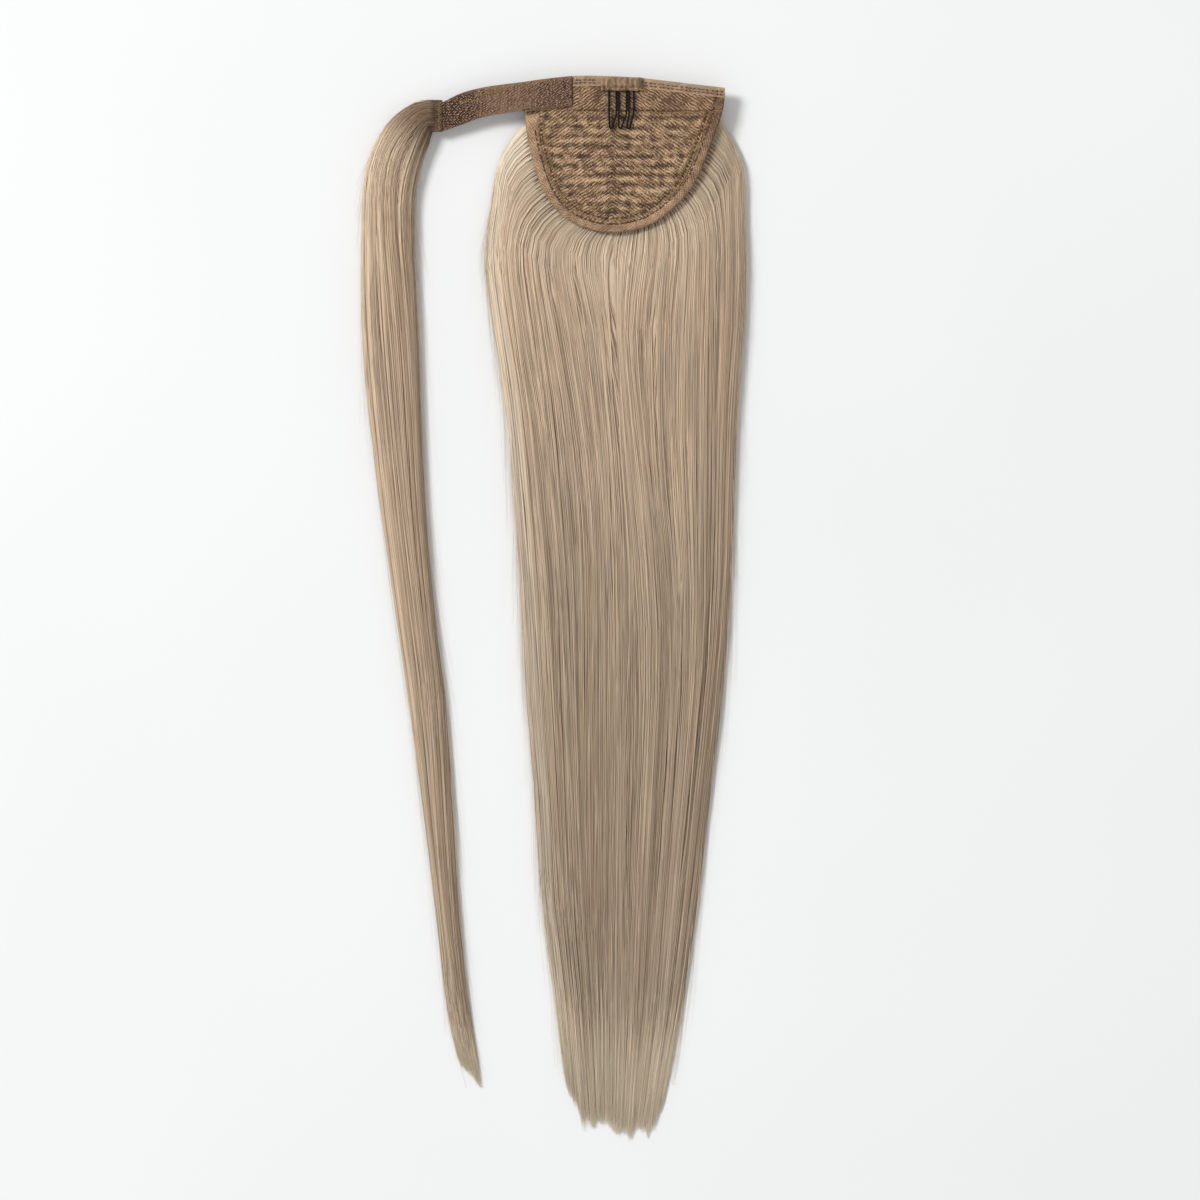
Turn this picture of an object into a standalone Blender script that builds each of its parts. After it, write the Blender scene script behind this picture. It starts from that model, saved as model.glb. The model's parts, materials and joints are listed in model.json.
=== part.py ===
# Clip-in ponytail hairpiece that wraps around, laid flat with the head side of its base up.
# Metres, +Z up. Hair points along -Y, the base is at +Y, the strap runs to -X.
# Drawing sizes are in millimetres: x is measured from the base's middle line to the right, and
# "down" is measured from the top edge of the base towards the tips.

import math

import bmesh
import bpy
import numpy as np

MM = 0.001
WELD_DISTANCE = 0.00001
SHARP_ANGLE = math.radians(50)

# Driving dimensions of the base
CLEARANCE = 0.3
CLOTH = 1.3
TAPE = 1.0
BASE_DEPTH = 78.0
BASE_UNDERSIDE = 9.6
FLAT_DOWN = 18.0
DOME = 1.1
DROOP = 0.8
PANEL_INSET = TAPE + CLEARANCE
PANEL_COLUMNS = 15
DOME_HALF_WIDTH = 56.0
EDGE_STOPS = 11
EDGE_SECTIONS = 41
EDGE_UNDERFOLD = 3.4
EDGE_LOOK_AHEAD = 0.02
FOLD_CORNER = 0.8
FOLD_BEVEL = 0.15
FOLD_DROP = 0.5
INNER_CORNER = 0.25
INNER_DROP = 0.1

# Ribs of the panel, where rows of weft are sewn behind it
RIB_START = 18.5
RIB_PITCH = 4.8
RIBS = 11
RIB_HEIGHT = 0.35
RIB_ROWS = 3
RIB_MARGIN = 8.5
RIB_FADE = 3.0
RIB_TOP_FADE = 2.0
PUCKER_DEPTH = 0.25
PUCKER_WIDTH = 3.0

# Layers that lie on the panel, as heights above the underside of the panel
LAYER_LOW = CLOTH + CLEARANCE
LAYER_TOP = LAYER_LOW + TAPE
CASING_LOW = LAYER_TOP + CLEARANCE
CASING_HEIGHT = 2.9
CASING_WALL = 1.0
CASING_HEM = 0.72
CASING_END_DROP = 0.8
CASING_END_SHARE = 0.06
SPINE_ROOM = 1.1
WIRE_ROOM = 0.75
CUT_BELOW = 1.0

# Comb
WIRE = 0.8
SPINE_WIRE = 1.2
SPINE_DOWN = 4.6
TOOTH_STRAIGHT_END = 19.0
TOOTH_TIP = 26.6
TIP_RADIUS = 0.75
TIP_STEPS = 6
SPINE_OVERHANG = 0.9
SPINE_LIFT = 0.2
TIP_SINK = 0.5
WIRE_STRAIGHT_OUT = 0.6

# Hair
LOCKS = 11
COLUMNS_PER_LOCK = 4
FALL_ROWS = 27
LOCK_GROOVE = 1.5
ROOT_PULL = 0.15
ROOT_DOWN = 8.0
EDGE_LIFT_RUN = 16.0
EDGE_SPREAD_RUN = 52.0
EDGE_GROOVE_SHARE = 0.6
UNDER_EDGE_STEP = 0.12
ROW_CROWDING = 1.55
HAIR_EDGE_START = 0.25
HAIR_EDGE_END = 10.0
LANE_CROWDING = 0.1
LOCK_LEAN = 0.35
LOCK_TURN = 2.4
LOCK_START = 0.7
FULLNESS = 2.8
SIDE_SHARE = 0.32
UNDER_SHARE = 0.62
UNDER_EDGE_HEIGHT = 0.28
UNDER_EDGE_WIDTH = 0.05
HAIR_LEAST = 0.8
GROOVE_FULL_AT = 6.0
TIP_NOTCH = 11.0
TIP_UNEVEN = 4.0
STRAND_LOCKS = 6
STRAND_COLUMNS = 3
STRAND_GROOVE = 1.1
STRAND_FULLNESS = 2.4
STRAND_SIDE_SHARE = 0.34
STRAND_EDGE_HEIGHT = 0.26
STRAND_EDGE_WIDTH = 0.12
STRAND_LEAST = 0.7
STRAND_GROOVE_FULL_AT = 9.0
STRAND_LOOK_AHEAD = 0.05


def rows(names, values):
    """A short table: each name holds one column."""
    grid = np.array(values, dtype=float)
    return {name: grid[:, i] for i, name in enumerate(names.split())}


def read(table, column, at):
    """The column's value on a smooth curve through the rows; the first column holds the stations."""
    stations = next(iter(table.values()))
    values = table[column]
    slopes = np.gradient(values, stations)
    at = float(np.clip(at, stations[0], stations[-1]))
    i = int(np.clip(np.searchsorted(stations, at) - 1, 0, len(stations) - 2))
    span = stations[i + 1] - stations[i]
    t = (at - stations[i]) / span
    start = (1 + 2 * t) * (1 - t) ** 2 * values[i] + t * (1 - t) ** 2 * span * slopes[i]
    end = t * t * (3 - 2 * t) * values[i + 1] - t * t * (1 - t) * span * slopes[i + 1]
    return start + end


def ease(t):
    """0 to 1 with level ends."""
    t = min(max(t, 0.0), 1.0)
    return t * t * (3 - 2 * t)


# Curved edge of the base, from the strap round the bottom to the top right corner. Fold is how far
# the binding's folded tape reaches in over the panel.
EDGE = rows("stop x down fold", [
    (0, -44.5, 19.6, 7.5),
    (1, -42.6, 34.0, 6.0),
    (2, -36.6, 54.0, 4.2),
    (3, -27.0, 68.5, 3.6),
    (4, -13.5, 76.0, 3.8),
    (5, 1.5, 78.0, 4.0),
    (6, 17.8, 74.2, 4.2),
    (7, 31.0, 64.7, 4.6),
    (8, 41.0, 52.0, 5.2),
    (9, 48.7, 33.5, 5.6),
    (10, 54.0, 17.8, 4.6),
    (11, 55.0, 12.2, 4.4),
])

# Top edge of the base; left of the strap's end it lies hidden under the strap
TOP = rows("x down", [
    (-44.0, 4.0),
    (-21.8, 0.0),
    (-3.0, -0.1),
    (10.5, 0.6),
    (23.8, 2.0),
    (37.0, 3.6),
    (55.4, 5.75),
])

# Outline of the main hair and its height on the middle line
FALL = rows("down left right height", [
    (19.0, -46.0, 54.5, 7.0),
    (25.0, -50.0, 55.5, 7.5),
    (31.0, -53.0, 59.0, 8.0),
    (43.0, -58.0, 64.0, 9.0),
    (67.0, -61.0, 64.5, 10.5),
    (86.0, -64.0, 65.5, 11.8),
    (111.0, -62.0, 65.0, 12.0),
    (136.0, -58.5, 63.5, 11.2),
    (161.0, -55.0, 61.5, 10.4),
    (211.0, -50.5, 59.5, 9.2),
    (261.0, -47.0, 57.5, 8.4),
    (311.0, -44.0, 53.5, 7.6),
    (361.0, -39.5, 47.5, 6.8),
    (411.0, -36.0, 41.5, 6.0),
    (436.0, -33.0, 38.0, 5.4),
    (461.0, -29.0, 34.5, 4.6),
    (486.0, -26.5, 30.5, 3.6),
    (511.0, -23.0, 25.0, 2.4),
    (530.0, -20.0, 22.0, 1.4),
])

# Where the main hair ends, across its width
TIPS = rows("across down", [
    (0.0, 503.0),
    (0.15, 515.0),
    (0.35, 527.0),
    (0.5, 530.0),
    (0.7, 529.0),
    (0.85, 521.0),
    (1.0, 508.0),
])

# Middle line of the wrap strand, its half width, and its underside and top
STRAND = rows("stop x down half low high", [
    (0, -91.1, 19.5, 7.8, 3.6, 10.2),
    (1, -94.8, 19.7, 8.2, 2.6, 11.0),
    (2, -98.8, 23.2, 9.8, 1.4, 11.7),
    (3, -102.2, 27.6, 11.3, 0.5, 12.0),
    (4, -105.2, 32.6, 12.2, 0.0, 12.0),
    (5, -108.6, 40.5, 13.0, 0.0, 11.6),
    (6, -111.4, 50.5, 13.2, 0.0, 11.0),
    (7, -112.8, 64.0, 12.8, 0.0, 10.5),
    (8, -113.0, 86.0, 13.0, 0.0, 10.0),
    (9, -112.5, 111.0, 13.8, 0.0, 9.5),
    (10, -110.8, 150.0, 13.6, 0.0, 8.8),
    (11, -106.8, 202.0, 11.4, 0.0, 7.8),
    (12, -100.5, 261.0, 9.5, 0.0, 6.8),
    (13, -93.5, 311.0, 9.0, 0.0, 6.0),
    (14, -88.5, 361.0, 7.5, 0.0, 5.2),
    (15, -84.0, 411.0, 5.6, 0.0, 4.2),
    (16, -78.8, 460.0, 4.8, 0.0, 3.2),
    (17, -74.3, 486.0, 2.8, 0.0, 2.2),
    (18, -69.5, 505.0, 1.0, 0.0, 1.2),
])
STRAND_SECTIONS = 27

# Hook tape: its upper and lower edge and the height of its top face
STRAP = rows("x upper lower top", [
    (-85.6, 12.8, 27.2, 8.0),
    (-75.8, 8.2, 23.9, 9.0),
    (-67.5, 6.0, 20.9, 10.1),
    (-54.0, 4.0, 18.4, 11.8),
    (-46.0, 3.1, 17.5, 12.5),
    (-35.5, 1.6, 16.8, 12.5),
    (-21.2, 0.0, 14.6, 12.5),
])

STRAP_THICK = 1.2
STRAP_ROWS = 3
STRAP_COLUMNS = 21

# Comb teeth: x of each side wire and of the tip
TEETH = rows("tooth left right tip", [
    (0, -2.5, 1.15, -1.4),
    (1, 2.35, 6.2, 3.1),
    (2, 7.4, 9.8, 7.3),
])

# Smooth twill band across the top of the panel
BAND_LEFT = -20.6
BAND_RIGHT = 50.0
BAND_RIGHT_TAPER = 1.7
BAND_BOTTOM = 17.2
BAND_ROWS = 4
BAND_COLUMNS = 22

# Top binding
TOP_BINDING_LEFT = -20.6
TOP_BINDING_RIGHT = 55.2
TOP_FOLD = 4.8
TOP_UNDERFOLD = 4.2
TOP_SECTIONS = 15

# Casing that holds the comb's spine
CASING_LEFT = -6.5
CASING_RIGHT = 14.0
CASING_TOP = 0.9
CASING_BOTTOM = 7.4
CASING_PUCKERS = 7
CASING_PUCKER = 0.22

# Folded weft edge at the head of the wrap strand
HEAD_LEFT = -90.6
HEAD_RIGHT = -85.9
HEAD_UPPER = 11.7
HEAD_LOWER = 27.4
HEAD_LOW = 5.2
HEAD_TOP = 9.6
HEAD_ROUNDING = 1.2
HEAD_ROWS = 8
HEAD_END_THIN = 0.35
HEAD_END_SHARE = 0.25
HEAD_LEFT_SHARE = 0.6
HEAD_RIGHT_SHARE = 0.5


def start_scene():
    for item in list(bpy.data.objects):
        bpy.data.objects.remove(item, do_unlink=True)
    parts = bpy.data.collections.new("ponytail_hairpiece")
    cutters = bpy.data.collections.new("cutters")
    for collection in (parts, cutters):
        bpy.context.scene.collection.children.link(collection)
    return parts, cutters


def material(name, colour, roughness):
    made = bpy.data.materials.new(name)
    made.use_nodes = True
    shader = made.node_tree.nodes["Principled BSDF"]
    shader.inputs["Base Color"].default_value = (*colour, 1.0)
    shader.inputs["Roughness"].default_value = roughness
    return made


def new_object(name, mesh, collection, look=None):
    made = bpy.data.objects.new(name, mesh)
    collection.objects.link(made)
    if look is not None:
        mesh.materials.append(look)
    return made


def place(x, down, height):
    """A point in metres from drawing sizes in millimetres."""
    return (x * MM, -down * MM, height * MM)


def thick_sheet(name, upper, lower, collection, look):
    """A closed body between two grids of points that have the same rows and columns."""
    upper = np.array(upper)
    lower = np.array(lower)
    count, width = upper.shape[:2]
    points = np.concatenate([upper.reshape(-1, 3), lower.reshape(-1, 3)])
    under = count * width
    faces = []
    for r in range(count - 1):
        for c in range(width - 1):
            a = r * width + c
            faces.append((a, a + width, a + width + 1, a + 1))
            faces.append((under + a, under + a + 1, under + a + width + 1, under + a + width))
    for r in range(count - 1):
        for c, turned in ((0, False), (width - 1, True)):
            a = r * width + c
            wall = (a, under + a, under + a + width, a + width)
            faces.append(wall[::-1] if turned else wall)
    for c in range(width - 1):
        for r, turned in ((0, True), (count - 1, False)):
            a = r * width + c
            cap = (a, under + a, under + a + 1, a + 1)
            faces.append(cap[::-1] if turned else cap)
    mesh = bpy.data.meshes.new(name)
    mesh.from_pydata(points.tolist(), [], faces)
    mesh.validate()
    mesh.shade_smooth()
    mesh.set_sharp_from_angle(angle=SHARP_ANGLE)
    return new_object(name, mesh, collection, look)


def cloth_wall(name, grid, thickness, collection, look):
    """An open surface of grid points with Solidify below it."""
    grid = np.array(grid)
    count, width = grid.shape[:2]
    faces = [
        (r * width + c, (r + 1) * width + c, (r + 1) * width + c + 1, r * width + c + 1)
        for r in range(count - 1)
        for c in range(width - 1)
    ]
    mesh = bpy.data.meshes.new(name)
    mesh.from_pydata(grid.reshape(-1, 3).tolist(), [], faces)
    mesh.shade_smooth()
    made = new_object(name, mesh, collection, look)
    solidify = made.modifiers.new("cloth thickness", "SOLIDIFY")
    solidify.thickness = thickness * MM
    solidify.offset = -1.0
    solidify.use_even_offset = False
    return made


def wire(name, points, diameter, collection, look):
    """A round wire with filled caps, made a mesh with welded caps."""
    curve = bpy.data.curves.new(name, "CURVE")
    curve.dimensions = "3D"
    curve.bevel_depth = diameter / 2 * MM
    curve.bevel_resolution = 1
    curve.use_fill_caps = True
    spline = curve.splines.new("POLY")
    spline.points.add(len(points) - 1)
    for target, point in zip(spline.points, points):
        target.co = (*place(*point), 1.0)
    return welded_mesh(new_object(name, curve, collection), look)


def welded_mesh(curve_object, look):
    bpy.context.view_layer.update()
    graph = bpy.context.evaluated_depsgraph_get()
    mesh = bpy.data.meshes.new_from_object(curve_object.evaluated_get(graph))
    name = curve_object.name
    collection = curve_object.users_collection[0]
    bpy.data.objects.remove(curve_object, do_unlink=True)
    weld(mesh)
    mesh.name = name
    return new_object(name, mesh, collection, look)


def weld(mesh):
    work = bmesh.new()
    work.from_mesh(mesh)
    bmesh.ops.remove_doubles(work, verts=work.verts, dist=WELD_DISTANCE)
    work.to_mesh(mesh)
    work.free()


def boolean(target, cutter, operation):
    modifier = target.modifiers.new(operation.lower(), "BOOLEAN")
    modifier.operation = operation
    modifier.solver = "EXACT"
    modifier.object = cutter


def edge_point(stop, inset=0.0):
    """A point of the base's curved edge, moved in from it by the inset, as x and down."""
    x, down = read(EDGE, "x", stop), read(EDGE, "down", stop)
    before, after = max(stop - EDGE_LOOK_AHEAD, 0.0), min(stop + EDGE_LOOK_AHEAD, EDGE_STOPS)
    along_x = read(EDGE, "x", after) - read(EDGE, "x", before)
    along_down = read(EDGE, "down", after) - read(EDGE, "down", before)
    length = math.hypot(along_x, along_down)
    return x + inset * along_down / length, down - inset * along_x / length


def base_height(x, down):
    """Underside of the panel: level along the top, gently domed over the hair below that."""
    t = min(max((down - FLAT_DOWN) / (BASE_DEPTH - FLAT_DOWN), 0.0), 1.0)
    crown = DOME * math.sin(math.pi * t) * (1 - (x / DOME_HALF_WIDTH) ** 2)
    return BASE_UNDERSIDE + crown - DROOP * t * t


def panel_sides():
    """Left and right edge of the panel as polylines by down."""
    stops = np.linspace(0.0, EDGE_STOPS, 20 * EDGE_STOPS + 1)
    path = np.array([edge_point(stop, PANEL_INSET) for stop in stops])
    lowest = int(np.argmax(path[:, 1]))
    left = path[: lowest + 1]
    right = path[lowest:][::-1]
    return left, right


def make_panel(parts, look):
    left, right = panel_sides()
    bottom = left[-1, 1] - CLEARANCE
    downs = list(np.linspace(0.0, RIB_START, 5)[:-1])
    rib_end = RIB_START + RIBS * RIB_PITCH
    downs += list(np.linspace(RIB_START, rib_end, RIBS * RIB_ROWS + 1))
    downs += list(np.linspace(rib_end, bottom, 4)[1:])
    edge = np.concatenate([left, right])
    grid = []
    for level in downs:
        line = []
        for c in range(PANEL_COLUMNS):
            t = c / (PANEL_COLUMNS - 1)
            ends = [np.interp(level, side[:, 1], side[:, 0]) for side in (left, right)]
            x = ends[0] + (ends[1] - ends[0]) * t
            down = level + (read(TOP, "down", x) + PANEL_INSET) * max(0.0, 1 - level / FLAT_DOWN)
            clear = np.hypot(edge[:, 0] - x, edge[:, 1] - down).min()
            calm = ease((clear - RIB_MARGIN) / RIB_FADE + 1) * ease((level - RIB_START) / RIB_TOP_FADE)
            rib = RIB_HEIGHT * math.cos(2 * math.pi * (level - RIB_START) / RIB_PITCH)
            pucker = PUCKER_DEPTH * math.exp(-((x / PUCKER_WIDTH) ** 2))
            height = base_height(x, down) + CLOTH + calm * (rib - pucker)
            line.append(place(x, down, height))
        grid.append(line)
    cloth_wall("base_panel", grid, CLOTH, parts, look)


def make_band(parts, look):
    grid = []
    for r in range(BAND_ROWS + 1):
        line = []
        for c in range(BAND_COLUMNS + 1):
            right = BAND_RIGHT - BAND_RIGHT_TAPER * r / BAND_ROWS
            x = BAND_LEFT + (right - BAND_LEFT) * c / BAND_COLUMNS
            top = read(TOP, "down", x) + TOP_FOLD + CLEARANCE
            down = top + (BAND_BOTTOM - top) * r / BAND_ROWS
            line.append(place(x, down, BASE_UNDERSIDE + LAYER_TOP))
        grid.append(line)
    cloth_wall("upper_band", grid, TAPE, parts, look)


def folded_tape(name, stations, parts, look):
    """A tape folded round the panel's rim. Each station is x, down, the unit vector pointing inwards,
    the fold's reach on the top and the reach below."""
    upper, lower = [], []
    for x, down, inward_x, inward_down, reach, under in stations:
        outer = [
            (reach, LAYER_TOP),
            (FOLD_CORNER, LAYER_TOP),
            (FOLD_BEVEL, LAYER_TOP - FOLD_DROP),
            (0.0, CLOTH / 2),
            (FOLD_BEVEL, -TAPE - CLEARANCE + FOLD_DROP),
            (FOLD_CORNER, -TAPE - CLEARANCE),
            (under, -TAPE - CLEARANCE),
        ]
        inner = [
            (reach, LAYER_LOW),
            (TAPE + INNER_CORNER, LAYER_LOW),
            (TAPE, LAYER_LOW - INNER_DROP),
            (TAPE, CLOTH / 2),
            (TAPE, -CLEARANCE + INNER_DROP),
            (TAPE + INNER_CORNER, -CLEARANCE),
            (under, -CLEARANCE),
        ]
        for chain, kept in ((outer, upper), (inner, lower)):
            line = []
            for depth, rise in chain:
                at_x, at_down = x + inward_x * depth, down + inward_down * depth
                line.append(place(at_x, at_down, base_height(at_x, at_down) + rise))
            kept.append(line)
    thick_sheet(name, upper, lower, parts, look)


def make_bindings(parts, look_edge, look_top):
    stations = []
    for stop in np.linspace(EDGE_STOPS, 0.0, EDGE_SECTIONS):
        x, down = edge_point(stop)
        inner_x, inner_down = edge_point(stop, 1.0)
        reach = read(EDGE, "fold", stop)
        stations.append((x, down, inner_x - x, inner_down - down, reach, EDGE_UNDERFOLD))
    folded_tape("edge_binding", stations, parts, look_edge)
    stations = []
    for x in np.linspace(TOP_BINDING_LEFT, TOP_BINDING_RIGHT, TOP_SECTIONS):
        stations.append((x, read(TOP, "down", x), 0.0, 1.0, TOP_FOLD, TOP_UNDERFOLD))
    folded_tape("top_binding", stations, parts, look_top)


def make_strap(parts, look):
    grid = []
    for r in range(STRAP_ROWS + 1):
        line = []
        for c in range(STRAP_COLUMNS + 1):
            x = STRAP["x"][0] + (STRAP["x"][-1] - STRAP["x"][0]) * c / STRAP_COLUMNS
            upper, lower = read(STRAP, "upper", x), read(STRAP, "lower", x)
            line.append(place(x, upper + (lower - upper) * r / STRAP_ROWS, read(STRAP, "top", x)))
        grid.append(line)
    cloth_wall("wrap_strap", grid, STRAP_THICK, parts, look)


def make_casing(parts, cutters, look):
    low = BASE_UNDERSIDE + CASING_LOW
    upper, lower = [], []
    stops = 4 * CASING_PUCKERS
    for r, t in enumerate((0.0, 0.12, 0.5, 0.88, 1.0)):
        top_line, low_line = [], []
        for c in range(stops + 1):
            along = c / stops
            x = CASING_LEFT + (CASING_RIGHT - CASING_LEFT) * along
            down = CASING_TOP + (CASING_BOTTOM - CASING_TOP) * t
            wave = CASING_PUCKER * math.cos(2 * math.pi * CASING_PUCKERS * along)
            crown = CASING_HEIGHT * (1.0 if 0 < r < 4 else CASING_HEM)
            end_drop = CASING_END_DROP * (1 - ease(min(along, 1 - along) / CASING_END_SHARE))
            top_line.append(place(x, down, low + crown + wave - end_drop))
            low_line.append(place(x, down, low))
        upper.append(top_line)
        lower.append(low_line)
    casing = thick_sheet("comb_casing", upper, lower, parts, look)
    ceiling = low + CASING_HEIGHT - CASING_WALL
    first, last = TEETH["left"][0], TEETH["right"][2]
    spine_end = SPINE_OVERHANG + CLEARANCE
    boxes = [(first - spine_end, last + spine_end, SPINE_DOWN - SPINE_ROOM, SPINE_DOWN + SPINE_ROOM)]
    wires = [(first, first), (TEETH["right"][0], TEETH["left"][1])]
    wires += [(TEETH["right"][1], TEETH["left"][2]), (last, last)]
    for start, end in wires:
        boxes.append((start - WIRE_ROOM, end + WIRE_ROOM, SPINE_DOWN, CASING_BOTTOM + CUT_BELOW))
    for i, (x0, x1, down0, down1) in enumerate(boxes):
        bpy.ops.mesh.primitive_cube_add(size=1.0)
        cutter = bpy.context.object
        for holder in list(cutter.users_collection):
            holder.objects.unlink(cutter)
        cutters.objects.link(cutter)
        cutter.name = f"casing_cut_{i}"
        cutter.hide_render = True
        cutter.display_type = "WIRE"
        bottom = low - CUT_BELOW
        cutter.location = place((x0 + x1) / 2, (down0 + down1) / 2, (bottom + ceiling) / 2)
        cutter.scale = ((x1 - x0) * MM, (down1 - down0) * MM, (ceiling - bottom) * MM)
        boolean(casing, cutter, "DIFFERENCE")


def comb_height(down):
    """The wires leave the casing level and come down towards the panel."""
    start = BASE_UNDERSIDE + CASING_LOW + SPINE_WIRE / 2 + SPINE_LIFT
    return start - TIP_SINK * ease((down - CASING_BOTTOM) / (TOOTH_TIP - CASING_BOTTOM))


def tooth_points(left, right, tip):
    """One hairpin: straight sides that close towards a round tip."""
    straight = (SPINE_DOWN, CASING_BOTTOM + WIRE_STRAIGHT_OUT, TOOTH_STRAIGHT_END)
    points = [(left, down) for down in straight]
    round_end = TOOTH_TIP - WIRE / 2 - TIP_RADIUS
    for i in range(TIP_STEPS + 1):
        angle = math.pi * i / TIP_STEPS
        points.append((tip - TIP_RADIUS * math.cos(angle), round_end + TIP_RADIUS * math.sin(angle)))
    points += [(right, down) for down in reversed(straight)]
    return [(x, down, comb_height(down)) for x, down in points]


def make_comb(parts, cutters, look):
    ends = (TEETH["left"][0] - SPINE_OVERHANG, TEETH["right"][2] + SPINE_OVERHANG)
    spine = [(x, SPINE_DOWN, comb_height(SPINE_DOWN)) for x in ends]
    comb = wire("comb", spine, SPINE_WIRE, parts, look)
    for i in range(3):
        sides = tooth_points(*(TEETH[name][i] for name in ("left", "right", "tip")))
        tooth = wire(f"comb_tooth_{i}", sides, WIRE, cutters, look)
        tooth.hide_render = True
        tooth.display_type = "WIRE"
        boolean(comb, tooth, "UNION")


def lock_wave(column, per_lock):
    """0 in the groove between two locks and 1 on the crest of a lock."""
    return math.sin(math.pi * (column % per_lock) / per_lock) if column % per_lock else 0.0


def lock_lean(column, per_lock):
    """A steady difference from lock to lock, from -1 to 1."""
    return math.sin(LOCK_TURN * (column // per_lock) + LOCK_START)


def across_of(share):
    """Lanes are narrower near both sides, because more hair comes out at the base's bottom."""
    return share - LANE_CROWDING * math.sin(2 * math.pi * share)


def lane(across, down):
    left, right = read(FALL, "left", down), read(FALL, "right", down)
    return left + (right - left) * across


def fall_column(column):
    """Where a column of the main hair leaves the base, its place across, its lock's wave and its tip."""
    share = column / (LOCKS * COLUMNS_PER_LOCK)
    across = across_of(share)
    stop = HAIR_EDGE_START + (HAIR_EDGE_END - HAIR_EDGE_START) * share
    wave = lock_wave(column, COLUMNS_PER_LOCK)
    lean = lock_lean(column, COLUMNS_PER_LOCK)
    tip = read(TIPS, "down", across) - TIP_NOTCH * (1 - wave) - TIP_UNEVEN * wave * (1 - lean) / 2
    return edge_point(stop), across, wave, lean, tip


def fall_place(step, edge, across, tip):
    """Steps below 0 lie under the base; 0 is the base's edge and 1 the tip."""
    edge_x, edge_down = edge
    if step < 0:
        x = edge_x + edge_x * ROOT_PULL * step
        return x, edge_down + (edge_down - ROOT_DOWN) * step
    down = edge_down + (tip - edge_down) * step
    settle = max(0.0, 1 - (down - edge_down) / EDGE_SPREAD_RUN) ** 4
    return lane(across, down) + (edge_x - lane(across, edge_down)) * settle, down


def fall_heights(step, down, edge, across, wave, lean):
    """Underside and top of the main hair."""
    side = min(abs(2 * across - 1), 1.0)
    body = (1 - side**FULLNESS) ** 0.5
    limit = base_height(*edge) - TAPE - 3 * CLEARANCE
    if step < 0:
        top, groove = limit, 0.0
    else:
        rise = ease((down - edge[1]) / EDGE_LIFT_RUN)
        free = read(FALL, "height", down) * (SIDE_SHARE + (1 - SIDE_SHARE) * body)
        grown = min(1.0, free / GROOVE_FULL_AT)
        held = limit * (UNDER_SHARE + (1 - UNDER_SHARE) * min(1.0, 4 * body))
        top = held + (free + LOCK_LEAN * lean * grown - held) * rise
        groove = LOCK_GROOVE * (1 - wave) * grown * (EDGE_GROOVE_SHARE + (1 - EDGE_GROOVE_SHARE) * rise)
    low = UNDER_EDGE_HEIGHT * top * (1 - ease((1 - side) / UNDER_EDGE_WIDTH))
    return low, max(top - groove, low + HAIR_LEAST)


def make_hair_fall(parts, look):
    steps = [-1.0, -UNDER_EDGE_STEP]
    steps += [(k / FALL_ROWS) ** ROW_CROWDING for k in range(FALL_ROWS + 1)]
    columns = [fall_column(c) for c in range(LOCKS * COLUMNS_PER_LOCK + 1)]
    upper, lower = [], []
    for step in steps:
        top_line, low_line = [], []
        for edge, across, wave, lean, tip in columns:
            x, down = fall_place(step, edge, across, tip)
            low, top = fall_heights(step, down, edge, across, wave, lean)
            top_line.append(place(x, down, top))
            low_line.append(place(x, down, low))
        upper.append(top_line)
        lower.append(low_line)
    thick_sheet("hair_fall", upper, lower, parts, look)


def make_wrap_strand(parts, look):
    columns = STRAND_LOCKS * STRAND_COLUMNS
    last = len(STRAND["x"]) - 1
    upper, lower = [], []
    for stop in np.linspace(0.0, last, STRAND_SECTIONS + 1):
        x, down = read(STRAND, "x", stop), read(STRAND, "down", stop)
        before, after = max(stop - STRAND_LOOK_AHEAD, 0.0), min(stop + STRAND_LOOK_AHEAD, last)
        along_x = read(STRAND, "x", after) - read(STRAND, "x", before)
        along_down = read(STRAND, "down", after) - read(STRAND, "down", before)
        length = math.hypot(along_x, along_down)
        side_x, side_down = along_down / length, -along_x / length
        half, low, high = (read(STRAND, name, stop) for name in ("half", "low", "high"))
        low = max(low, 0.0)
        top_line, low_line = [], []
        for c in range(columns + 1):
            share = 2 * c / columns - 1
            across = (math.sin(share * math.pi / 2) + share) / 2
            body = max(0.0, 1 - abs(across) ** STRAND_FULLNESS) ** 0.5
            wave = lock_wave(c, STRAND_COLUMNS)
            tall = (high - low) * (STRAND_SIDE_SHARE + (1 - STRAND_SIDE_SHARE) * body)
            tall -= STRAND_GROOVE * (1 - wave) * min(1.0, tall / STRAND_GROOVE_FULL_AT)
            raised = STRAND_EDGE_HEIGHT * tall * (1 - ease((1 - abs(across)) / STRAND_EDGE_WIDTH))
            at_x, at_down = x - side_x * half * across, down - side_down * half * across
            low_line.append(place(at_x, at_down, low + raised))
            top_line.append(place(at_x, at_down, low + max(tall, raised + STRAND_LEAST)))
        upper.append(top_line[::-1])
        lower.append(low_line[::-1])
    thick_sheet("wrap_strand", upper, lower, parts, look)


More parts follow.
